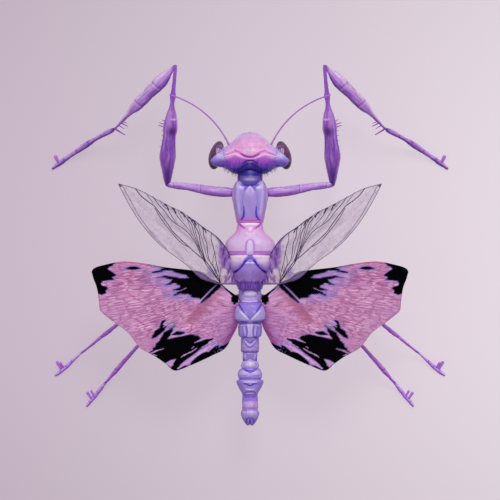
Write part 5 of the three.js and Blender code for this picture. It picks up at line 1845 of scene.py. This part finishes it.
# The dark lobe of the forewing that lies over the hindwing's root.
FOREWING_LOBE = [
    (6.0, -7.4), (7.9, -6.65), (9.2, -5.75), (10.5, -5.05), (11.4, -5.1), (10.5, -5.9),
    (9.6, -6.55), (8.0, -7.1), (6.1, -7.6),
]
GREY_WINDOW = [
    (16.7, -16.1), (16.2, -15.5), (15.1, -15.1), (14.9, -15.9), (15.4, -16.5), (16.1, -16.6),
]
VEIN_STRIPE = [
    (6.7, -7.75, 0.6), (7.75, -8.75), (8.3, -9.3, 1.2), (9.1, -10.15), (10.35, -11.4, 1.3),
]
VEIN_FOLD = [(8.6, -10.8), (10.2, -12.4), (12.4, -15.2)]
# Blue-grey trails that run on from the flames, each from a point to another.
TRAILS = [
    ((16.8, -7.7), (21.4, -7.8)), ((19.6, -5.4), (21.6, -5.6)), ((19.6, -6.6), (21.4, -6.7)),
    ((15.2, -8.9), (17.5, -9.4)), ((15.0, -9.7), (16.4, -10.8)),
]
# Blue shading below the flames.
GLOW = [(17.0, -9.8, 0.6), (14.6, -10.3), (12.0, -10.9, 0.6)]
HINDWING_SPOT = (23.28, -4.42)
FAN_CELLS = (15.0, 71.0)  # wrinkles to one step of the logarithm of radius, and to one radian


def fan(x, y, root, seed):
    """Wrinkles that spread from a root, coarser near it, with streaks and finer streaks."""
    radius = np.maximum(np.hypot(x - root[0], y - root[1]), 0.5)
    turn = np.arctan2(y - root[1], x - root[0])
    log_radius = np.log(radius)
    outer = smoothstep(15.0, 21.0, radius)
    height, streak, fine = 0, 0, 0
    for share, long, wide in ((outer, 1.0, 1.0), (1 - outer, 0.6, 0.42)):
        u = log_radius * FAN_CELLS[0] * long + 0.4 * noise(x / 1.1, y / 1.1, seed=seed)
        v = turn * FAN_CELLS[1] * wide + 0.7 * noise(u * 0.9, turn * 20 * wide, seed=seed + 1)
        ridge = 0.5 + 0.5 * np.cos(2 * math.pi * (v + 0.35 * noise(x / 0.7, y / 0.7, seed=seed + 2)))
        swell = 0.6 + 0.4 * noise(u * 1.5, v * 0.5, seed=seed + 3)
        gap, own = cells(u, v, seed + 4, jitter=1.0)
        dome = smoothstep(0.0, 0.5, gap)
        height = height + share * (0.5 * ridge * swell + 0.5 * dome * (0.65 + 0.35 * own))
        streak = streak + share * noise(turn * 100 * wide, log_radius * 9 * long, seed=seed + 5)
        fine = fine + share * noise(turn * 210 * wide, log_radius * 18 * long, seed=seed + 6)
    return height, streak, fine


HINDWING_STEP = 0.145
HINDWING_HALF_THICKNESS = 0.05


def paint_hindwing(sheet):
    x, y = sheet.grid[..., 0], sheet.grid[..., 1]
    back = smoothstep(1.2, -1.2, outside(x, y, BACK_FAN))
    main_fan, back_fan = fan(x, y, FAN_ROOT, 80), fan(x, y, BACK_FAN_ROOT, 100)
    height, streak, fine = [a + (b - a) * back for a, b in zip(main_fan, back_fan)]
    grain = noise(x / 0.35, y / 0.35, seed=84)
    blotch = noise(x / 3.0, y / 3.0, seed=85)
    # Near the root of the wing the wrinkles give way to long soft folds.
    from_root = np.hypot(x - 5.0, y + 9.0)
    soft = smoothstep(7.5, 3.0, from_root) * 0.85
    folds = 0.5 + 0.3 * streak + 0.2 * noise(x / 0.9, y / 0.5, seed=87)
    height = height + (folds - height) * soft
    sheet.relief += 0.135 * height + 0.03 * streak + 0.012 * grain
    # The wrinkles are painted paler towards their crests, with painted highlights on the highest, and
    # painted shade deep in the grooves.
    sheet.paint((162, 96, 146), np.ones_like(x))
    sheet.paint((206, 142, 188), smoothstep(0.1, 0.42, height))
    sheet.paint((224, 170, 208), smoothstep(0.42, 0.7, height + 0.1 * fine) * 0.8)
    sheet.paint((246, 212, 234), smoothstep(0.62, 0.88, height + 0.18 * fine) * 0.8)
    sheet.paint((146, 80, 128), smoothstep(0.42, 0.2, height) * smoothstep(0.0, 0.5, -fine) * 0.6)
    sheet.paint((188, 116, 158), smoothstep(0.0, 0.8, blotch) * 0.3)
    sheet.paint((216, 164, 202), smoothstep(0.0, 0.8, -blotch) * 0.25)
    sheet.paint((190, 122, 172), smoothstep(0.2, 0.8, grain) * 0.2)
    outer_edge = distance_to(x, y, [(22.6, -19.8), (25.5, -16.6), (29.9, -12.9)])
    sheet.paint((196, 152, 196), smoothstep(4.5, 0.5, outer_edge) * 0.4)

    # Beside the body run long streaks, violet, blue and rose.
    near_body = smoothstep(11.5, 4.5, x) * smoothstep(-11.0, -14.5, y)
    sheet.paint((160, 108, 176), near_body * 0.3)
    sheet.paint((186, 152, 216), smoothstep(0.1, 0.6, streak) * near_body * 0.6)
    sheet.paint((110, 74, 148), smoothstep(0.15, 0.65, -streak + 0.4 * fine) * near_body * 0.45)
    sheet.paint((230, 158, 196), smoothstep(0.2, 0.7, fine) * near_body * 0.5)
    # Painted shade darkens the wing along its edge beside the body.
    body_edge = distance_to(x, y, [(2.4, -12.6), (2.4, -15.8), (3.6, -18.4), (4.6, -19.8)])
    sheet.paint((138, 66, 130), smoothstep(2.6, 0.6, body_edge - 0.3 * streak) * 0.4)
    sheet.paint((124, 50, 120), smoothstep(1.4, 0.1, body_edge) * 0.75)
    lilac = np.hypot((x - 5.0) / 1.8, (y + 10.2) / 1.6)
    sheet.paint((206, 158, 206), smoothstep(1.2, 0.2, lilac) * 0.5)
    shade = distance_to(x, y, [(6.0, -8.4), (7.8, -10.4), (9.4, -12.4), (11.2, -14.6)])
    sheet.paint((152, 82, 116), smoothstep(1.6, 0.2, shade + 0.3 * streak) * 0.5)

    # The patches have ragged ends along the rays of the fans, and a lilac-blue fringe.
    dark = np.full(x.shape, np.inf)
    for outline in BLACK_PATCHES:
        dark = np.minimum(dark, outside(x, y, outline))
    from_spot = np.hypot((x - HINDWING_SPOT[0]) / 1.0, (y - HINDWING_SPOT[1]) / 0.27) - 1
    dark = np.minimum(dark, from_spot * 0.3)
    halo = np.hypot((x - HINDWING_SPOT[0] + 0.2) / 2.5, (y - HINDWING_SPOT[1]) / 0.6)
    sheet.paint((160, 136, 208), smoothstep(1.2, 0.3, halo) * 0.7)
    flames = smoothstep(22.0, 18.0, x) * smoothstep(-11.8, -10.4, y) * smoothstep(9.0, 11.0, x)
    fingers = smoothstep(14.0, 10.0, x) * smoothstep(-17.0, -18.0, y)
    rays = (0.08 + 0.05 * flames + 0.2 * fingers) * streak
    ragged = dark + rays + (0.08 + 0.03 * flames) * fine + 0.03 * grain
    # Trails run on from the flames, and a pale grey window lies behind them.
    for start, end in TRAILS:
        trail = stroke(x, y + 0.1 * streak, [(*start, 1.2), (*end, 0.4)], 0.25)
        sheet.paint((136, 112, 184), trail * 0.75)
    glow = stroke(x, y, GLOW, 0.9) * smoothstep(-0.3, 0.4, streak + 0.6 * fine)
    sheet.paint((126, 110, 182), glow * 0.6)
    reach = 0.5 + 1.3 * flames
    fringe = smoothstep(reach, 0.1, ragged + 0.3 * streak + 0.2 * fine)
    sheet.paint((188, 146, 214), fringe * 0.65)
    window = outside(x, y, GREY_WINDOW) + 0.15 * streak
    sheet.paint((128, 120, 166), smoothstep(0.3, -0.2, window) * 0.8)
    sheet.paint((76, 66, 104), smoothstep(0.15, -0.1, window) * smoothstep(0.0, 0.3, fine) * 0.8)
    sheet.paint((200, 160, 216), smoothstep(0.1, -0.1, window) * smoothstep(0.1, 0.4, streak) * 0.8)
    sheet.paint((112, 104, 178), smoothstep(reach * 0.4, 0.05, ragged + 0.25 * fine) * 0.55)
    sheet.paint((34, 30, 84), smoothstep(0.2, 0.05, ragged) * 0.8)
    black = smoothstep(0.08, -0.05, ragged)
    sheet.paint((1, 0, 3), black)
    sheet.relief -= 0.08 * height * black
    for line, width in LILAC_STROKES:
        mask = stroke(x + 0.05 * fine, y + 0.1 * streak, line, width)
        sheet.paint((196, 150, 214), smoothstep(0.3 + 0.3 * streak, 0.75 + 0.2 * streak, mask) * 0.95)
        sheet.paint((226, 182, 230), smoothstep(0.7, 0.98, mask) * smoothstep(0.0, 0.6, fine) * 0.6)
    strip = stroke(x, y, LILAC_STROKES[0][0], 0.45)
    sheet.paint((52, 52, 128), strip * smoothstep(0.2, 0.6, -streak + 0.5 * grain) * 0.35)
    notch = outside(x, y, LILAC_NOTCH) + 0.12 * streak
    sheet.paint((202, 158, 216), smoothstep(0.08, -0.06, notch) * 0.95)
    # The strip beside the body breaks up into specks of blue and lilac at its near end.
    speck = smoothstep(0.15, 0.5, noise(x / 0.28, y / 0.28, seed=88)) * smoothstep(8.5, 5.5, x)
    near_end = smoothstep(-18.8, -19.4, y) * smoothstep(10.0, 8.0, x)
    sheet.paint((118, 112, 190), speck * near_end * 0.85)

    stripe = stroke(x, y, VEIN_STRIPE, 0.19)
    sheet.paint((152, 116, 196), smoothstep(0.3, 0.8, stripe) * 0.95)
    sheet.paint((206, 184, 232), smoothstep(0.5, 0.9, stripe) * smoothstep(8.0, 10.2, x) * 0.8)
    sheet.relief += 0.12 * stripe
    fold = stroke(x, y, VEIN_FOLD, 0.5)
    sheet.paint((164, 92, 130), fold * 0.5)
    sheet.relief -= 0.1 * fold

    # The leading edge is thick and reddish, and the margin has a slight rim.
    upper = np.interp(x, sheet.x, sheet.upper[:, 0]) - y
    pink = smoothstep(19.5, 21.0, x) * smoothstep(27.6, 26.6, x)
    sheet.paint((190, 100, 148), smoothstep(0.45, 0.2, upper + 0.05 * grain) * pink * 0.75)
    sheet.half += 0.06 * smoothstep(0.45, 0.0, upper)
    margin = distance_to(x, y, HINDWING_LOWER[3:])
    rim = smoothstep(0.35, 0.05, margin) * smoothstep(0.0, 0.3, ragged)
    sheet.paint((176, 104, 150), rim * 0.5)


def make_hindwings():
    sheet = Sheet(HINDWING_UPPER, HINDWING_LOWER, HINDWING_STEP, HINDWING_HALF_THICKNESS)
    paint_hindwing(sheet)
    place_pair("hindwing", [sheet.shape()], PETAL, "wing_petal")


FOREWING_UPPER = [
    (2.5, -7.7, 13.4), (3.3, -4.8, 13.9), (4.1, -1.8, 14.3), (5.0, -0.1, 14.6),
    (6.1, 1.3, 14.8), (7.5, 2.5, 15.0), (9.2, 3.6, 15.2), (11.4, 5.3, 15.4),
    (13.6, 6.8, 15.65), (15.6, 7.75, 15.9), (18.6, 9.3, 16.3), (22.6, 11.4, 16.8),
    (26.2, 12.4, 17.2),
]
FOREWING_LOWER = [
    (2.5, -7.7, 13.4), (4.8, -7.65, 14.0), (6.0, -7.6, 14.3), (8.0, -7.1, 14.5),
    (9.6, -6.55, 14.6), (10.5, -5.9, 14.7), (11.6, -4.8, 14.95), (13.4, -3.2, 15.2),
    (17.2, -0.4, 15.7), (20.2, 2.6, 16.1), (23.0, 6.4, 16.6), (26.1, 12.1, 17.2),
    (26.2, 12.4, 17.2),
]
FOREWING_STEP = 0.13
FOREWING_HALF_THICKNESS = 0.03
# Where the long veins run together. Each vein is a line and its half thickness.
VEIN_ROOT = [(8.8, -3.6), (7.4, -5.4), (5.9, -7.4)]
VEINS = [
    ([(7.7, 2.6), (7.75, 1.4), (7.3, -0.3), (7.0, -1.7), (6.7, -3.4), (6.2, -5.4), (5.9, -7.3)], 0.075),
    ([(9.4, 3.9), (9.2, 2.0), (8.6, 0.3), (8.4, -1.7), (8.0, -3.1), (7.1, -4.4), (6.0, -7.0)], 0.085),
    ([(10.4, 4.5), (10.1, 3.2), (9.7, 1.8), (9.2, 0.2), (8.8, -1.6), (8.3, -3.0)], 0.055),
    ([(11.2, 5.1), (10.9, 3.9), (10.2, 2.4), (9.9, 0.6), (9.4, -1.2), (8.9, -2.8), (7.6, -4.7)]
     + VEIN_ROOT[2:], 0.09),
    ([(12.1, 5.7), (11.2, 4.2), (10.9, 2.8), (10.5, 1.4), (9.9, -0.6), (9.1, -2.6), (8.8, -3.6)], 0.07),
    ([(13.7, 6.9), (12.6, 5.5), (11.7, 4.3), (11.3, 2.9), (10.8, 1.4), (10.2, -0.1), (9.4, -2.0)]
     + VEIN_ROOT, 0.075),
    ([(13.0, 6.2), (12.3, 4.8), (11.9, 3.5), (11.4, 2.3)], 0.045),
    ([(15.4, 7.6), (14.8, 6.4), (13.9, 5.2), (12.8, 4.0), (11.7, 2.5), (10.7, 0.6), (9.9, -1.2)], 0.07),
    ([(14.5, 7.3), (14.0, 6.2), (13.2, 5.0)], 0.045),
    ([(16.8, 8.2), (16.1, 6.8), (15.2, 5.3), (14.4, 4.4)], 0.06),
    ([(19.4, 9.9), (18.1, 8.1), (17.0, 6.9), (15.8, 5.3), (14.7, 4.4), (13.8, 3.8), (12.7, 3.0),
      (11.6, 1.7), (10.7, 0.2), (9.9, -1.5)] + VEIN_ROOT, 0.079),
    ([(18.0, 9.2), (17.3, 8.0), (16.4, 7.2), (15.6, 6.0)], 0.05),
    ([(22.9, 11.5), (21.8, 10.1), (20.4, 8.9), (19.0, 7.9), (18.2, 6.8), (16.7, 4.8), (15.3, 2.8),
      (13.9, 1.4), (12.5, 0.1), (10.5, -1.7), (9.1, -2.9)] + VEIN_ROOT, 0.09),
    ([(20.9, 10.7), (20.0, 9.5), (19.2, 8.5)], 0.045),
    ([(19.0, 7.6), (17.7, 5.4), (16.2, 3.4), (14.8, 1.7), (13.4, 0.4), (12.4, -0.1)], 0.075),
    ([(9.9, 1.0), (9.6, -0.6), (9.2, -2.2)], 0.045),
    ([(7.0, -1.2), (7.4, -2.6), (7.3, -4.2), (6.7, -5.6)], 0.05),
    ([(25.4, 12.0), (23.8, 9.0), (22.2, 6.1), (21.0, 4.4), (19.0, 1.8), (16.6, -0.6)], 0.05),
]
VEIN_ENDS = [(16.8, 8.3), (15.3, 7.6), (13.6, 6.8), (12.1, 5.8), (11.3, 5.2), (9.3, 3.7)]
VEIN_COLOUR = (52, 30, 74)
MARGIN_COLOUR = (92, 68, 116)
VEIN_SIDES = 6
VEIN_FINENESS = 12
VEIN_LIFT = 0.02


def paint_forewing(sheet):
    x, y = sheet.grid[..., 0], sheet.grid[..., 1]
    veil = noise(x / 1.1, y / 1.1, seed=90)
    sheet.paint((204, 184, 206, 0.36), np.ones_like(x))
    sheet.colour[..., 3] += 0.05 * veil
    # Along the wing run faint grey folds, and between the veins a fine net.
    along = x * 0.75 + y * 0.66
    athwart = y * 0.75 - x * 0.66
    grain = noise(athwart / 0.45, along / 3.2, seed=91)
    fine = noise(athwart / 0.2, along / 1.2, seed=92)
    sheet.paint((146, 124, 156, 0.5), smoothstep(0.1, 0.8, grain + 0.3 * fine) * 0.5)
    sheet.paint((232, 220, 236, 0.42), smoothstep(0.1, 0.8, -grain + 0.2 * fine) * 0.5)
    sheet.relief += 0.05 * grain + 0.02 * fine
    gap, _ = cells(along / 1.6, athwart / 0.6, 93)
    sheet.paint((110, 88, 126, 0.55), smoothstep(0.08, 0.02, gap) * 0.3)
    inner = smoothstep(14.0, 8.0, x)
    sheet.paint((196, 170, 190, 0.5), inner * smoothstep(0.0, 0.8, veil) * 0.5)
    # Near the body it is mauve, mottled with dark violet streaks and cream flecks.
    body = np.interp(y, [-7.6, -5.4, -3.0, -1.0, 0.6, 1.6], [2.9, 3.3, 4.0, 4.7, 5.6, 6.6])
    reach = np.interp(y, [-7.6, -5.6, -3.4, -1.0, 0.4, 1.4], [1.8, 2.1, 2.4, 1.6, 0.7, 0.2])
    lean = x + 0.12 * y
    thread = noise(lean / 0.34, y / 1.3, seed=97)
    hair = noise(lean / 0.17, y / 0.55, seed=98)
    mottle = 0.55 * thread + 0.4 * hair + 0.3 * noise(x / 0.6, y / 0.7, seed=94)
    depth = (x - body) / np.maximum(reach, 0.1)
    mauve = smoothstep(1.15, 0.55, depth + 0.35 * mottle)
    beyond = smoothstep(2.6, 1.2, depth)
    sheet.paint((230, 214, 224, 0.8), beyond * smoothstep(0.1, 0.5, -mottle) * 0.7)
    sheet.paint((150, 122, 172, 0.75), beyond * smoothstep(0.15, 0.5, mottle) * 0.5)
    sheet.paint((136, 90, 172, 0.94), mauve * 0.97)
    sheet.paint((88, 40, 124, 0.97), mauve * smoothstep(-0.05, 0.3, mottle) * 0.9)
    sheet.paint((96, 78, 180, 0.94), mauve * smoothstep(0.25, 0.6, hair) * 0.25)
    sheet.paint((196, 166, 204, 0.93), mauve * smoothstep(0.3, 0.6, -mottle) * 0.55)
    cream = outside(x, y, [(6.2, -4.2), (5.0, -5.2), (3.9, -6.2), (3.6, -7.7), (6.3, -7.6)])
    pale = smoothstep(0.6, -0.3, cream + 0.6 * mottle)
    sheet.paint((200, 176, 196, 0.93), pale * 0.8)
    sheet.paint((118, 76, 146, 0.94), smoothstep(-0.1, 0.3, mottle) * pale * 0.75)
    sheet.paint((228, 214, 222, 0.93), smoothstep(0.3, 0.6, -mottle) * pale * 0.45)
    sheet.paint((196, 150, 150, 0.93), smoothstep(0.3, 0.7, veil + hair) * pale * 0.4)
    rear = smoothstep(0.4, 0.1, y - np.interp(x, sheet.x, sheet.lower[:, 0])) * smoothstep(7.5, 5.5, x)
    sheet.paint((112, 66, 152, 0.95), rear * 0.8)
    blue = np.hypot((x - 8.0) / 0.7, (y + 5.0) / 1.1)
    sheet.paint((140, 110, 208, 0.75), smoothstep(1.2, 0.4, blue + 0.5 * mottle) * 0.5)
    buff = np.hypot(x - 7.2, (y + 2.8) / 1.5)
    sheet.paint((214, 198, 200, 0.75), smoothstep(1.1, 0.3, buff + 0.4 * mottle) * 0.6)
    # A dark lobe lies over the root of the hindwing.
    lobe = outside(x, y, FOREWING_LOBE) + 0.08 * hair
    sheet.paint((122, 88, 148, 0.94), smoothstep(0.1, -0.08, lobe) * 0.95)
    sheet.paint((52, 34, 82, 0.97), smoothstep(0.16, 0.02, np.abs(lobe)) * 0.85)
    sheet.paint((84, 62, 118, 0.96), smoothstep(0.0, -0.1, lobe) * smoothstep(-0.1, 0.3, fine) * 0.7)
    for middle in VEIN_ENDS:
        away = np.hypot(x - middle[0], y - middle[1])
        sheet.paint((52, 34, 66, 0.96), smoothstep(0.5, 0.15, away) * 0.9)
    edge = np.interp(x, sheet.x, sheet.upper[:, 0]) - y
    sheet.half += 0.03 * smoothstep(0.4, 0.0, edge)
    root = smoothstep(9.0, 5.0, x)
    sheet.paint((50, 34, 66, 0.95), smoothstep(0.28, 0.05, edge) * (0.2 + 0.7 * root) * (y > -3))
    sheet.paint((104, 50, 112, 0.95), smoothstep(0.6, 0.2, np.hypot(x - 25.9, y - 12.1)) * 0.8)


def vein_tube(sheet, line, half, colour=VEIN_COLOUR):
    path = curve(np.column_stack([np.asarray(line, float), np.zeros(len(line))]), VEIN_FINENESS)
    path[:, 2] = sheet.height(path[:, 0], path[:, 1]) + VEIN_LIFT
    spread = ways_across(unit(np.gradient(path, axis=0)), Z_AXIS)
    size = half * np.linspace(0.9, 0.85, len(path))
    return Skin(round_rings(path, *spread, size, VEIN_SIDES), colour).shape()


def make_forewings():
    sheet = Sheet(FOREWING_UPPER, FOREWING_LOWER, FOREWING_STEP, FOREWING_HALF_THICKNESS)
    paint_forewing(sheet)
    edge = np.array(FOREWING_UPPER)[:, :2]
    back = np.array(FOREWING_LOWER)[:, :2]
    veins = [vein_tube(sheet, line, half) for line, half in VEINS]
    # Some veins end in a thick dark stub at the margin.
    for x, y in VEIN_ENDS:
        stub = [(x, y), (x - 0.35, y - 0.6), (x - 0.6, y - 1.1)]
        veins.append(vein_tube(sheet, stub, 0.12))
    veins.append(vein_tube(sheet, edge[7:1:-1], 0.095))
    veins.append(vein_tube(sheet, edge[:6:-1], 0.05, MARGIN_COLOUR))
    veins.append(vein_tube(sheet, back[::-1], 0.06, MARGIN_COLOUR))
    place_pair("forewing", [sheet.shape()], MEMBRANE, "wing_membrane")
    place("forewing_veins_right", veins, LIMB, "wing_membrane")
    place("forewing_veins_left", [vein.mirrored() for vein in veins], LIMB, "wing_membrane")


# ---- Stage ----
FLOOR_SIZE = 4.0
FLOOR_DROP = 0.00005  # below the ground plane, so that nothing lies in it
# Painted light on the floor: it runs from darker on the left to paler on the right, as light falls off
# across it.
FLOOR_COLOURS = ((199, 182, 198), (228, 216, 226))
FLOOR_FADE = (-0.055, 0.05)  # the x where it has the one colour, and the other
FLOOR_END = 0.05  # how far from the middle it darkens, towards the head and the tail
FLOOR_DARKEST = 0.92  # to this share
# The floor glows by itself, painted light that keeps the shadows on it faint.
FLOOR_GLOW = 0.85
FLOOR_TONE = 0.17  # how much of its colour answers to the lamps
WORLD_COLOUR = (1, 0.985, 1, 1)
WORLD_STRENGTH = 0.5
# Each lamp's name, place, width and power.
LAMPS = (
    ("key", (0.12, 0.6, 0.7), 0.4, 5.0),
    ("fill", (-0.5, -0.35, 0.6), 0.6, 0.5),
)
CAMERA_TARGET = (0.0, -0.8, 12.0)
CAMERA_CLIP = (0.05, 20)
VIEW_WIDTH = 100.0  # millimetres across the picture at the target's height
LENS = 500.0
SENSOR = 36.0


def make_floor():
    half = FLOOR_SIZE / 2
    corners = [(-half, -half, 0), (half, -half, 0), (half, half, 0), (-half, half, 0)]
    mesh = bpy.data.meshes.new("floor")
    mesh.from_pydata(corners, [], [(0, 1, 2, 3)])
    floor = bpy.data.objects.new("floor", mesh)
    floor.location.z = -FLOOR_DROP
    bpy.context.scene.collection.objects.link(floor)
    made = Finish("studio_floor", Specular_IOR_Level=0.1, Roughness=0.9)
    split = made.node("ShaderNodeSeparateXYZ", Vector=made.place)
    share = made.spread(split.outputs["X"], *FLOOR_FADE, 0.0, 1.0)
    tones = made.node("ShaderNodeValToRGB", Fac=share)
    for element, colour in zip(tones.color_ramp.elements, FLOOR_COLOURS):
        element.color = (*linear(colour), 1)
    # It darkens a little towards the head and the tail, a painted falloff of light.
    squared = made.node("ShaderNodeMath")
    squared.operation = "MULTIPLY"
    for socket in squared.inputs[:2]:
        made.feed(socket, split.outputs["Y"])
    fall = made.spread(squared.outputs["Value"], 0.0, FLOOR_END**2, 1.0, FLOOR_DARKEST)
    colour = made.shaded(tones.outputs["Color"], fall)
    # Its colour is also its glow, painted light.
    made.feed(made.shader.inputs["Emission Color"], colour)
    made.shader.inputs["Emission Strength"].default_value = FLOOR_GLOW
    made.feed(made.shader.inputs["Base Color"], made.shaded(colour, (FLOOR_TONE,) * 3 + (1,)))
    mesh.materials.append(made.material)


def make_lights():
    world = bpy.data.worlds.new("studio")
    bpy.context.scene.world = world
    world.use_nodes = True
    background = world.node_tree.nodes["Background"]
    background.inputs["Color"].default_value = WORLD_COLOUR
    background.inputs["Strength"].default_value = WORLD_STRENGTH
    for name, spot, size, power in LAMPS:
        light = bpy.data.lights.new(name, "AREA")
        light.shape = "DISK"
        light.size = size
        light.energy = power
        lamp = bpy.data.objects.new(name, light)
        lamp.location = spot
        lamp.rotation_euler = (-Vector(spot)).to_track_quat("-Z", "Y").to_euler()
        lamp.visible_camera = False
        bpy.context.scene.collection.objects.link(lamp)


def make_camera():
    data = bpy.data.cameras.new("camera")
    data.lens = LENS
    data.sensor_width = SENSOR
    data.clip_start, data.clip_end = CAMERA_CLIP
    camera = bpy.data.objects.new("camera", data)
    target = np.array(CAMERA_TARGET) + SHIFT * [0, 1, 1]
    distance = VIEW_WIDTH * LENS / SENSOR
    camera.location = (target[0] * MM, target[1] * MM, (target[2] + distance) * MM)
    bpy.context.scene.collection.objects.link(camera)
    bpy.context.scene.camera = camera
    bpy.context.scene.view_settings.view_transform = "Standard"


make_thorax()
make_abdomen()
make_joint_skin()
make_head()
make_eye()
make_antennae()
make_mouthparts()
make_legs()
make_cerci()
make_hindwings()
make_forewings()
make_floor()
make_lights()
make_camera()
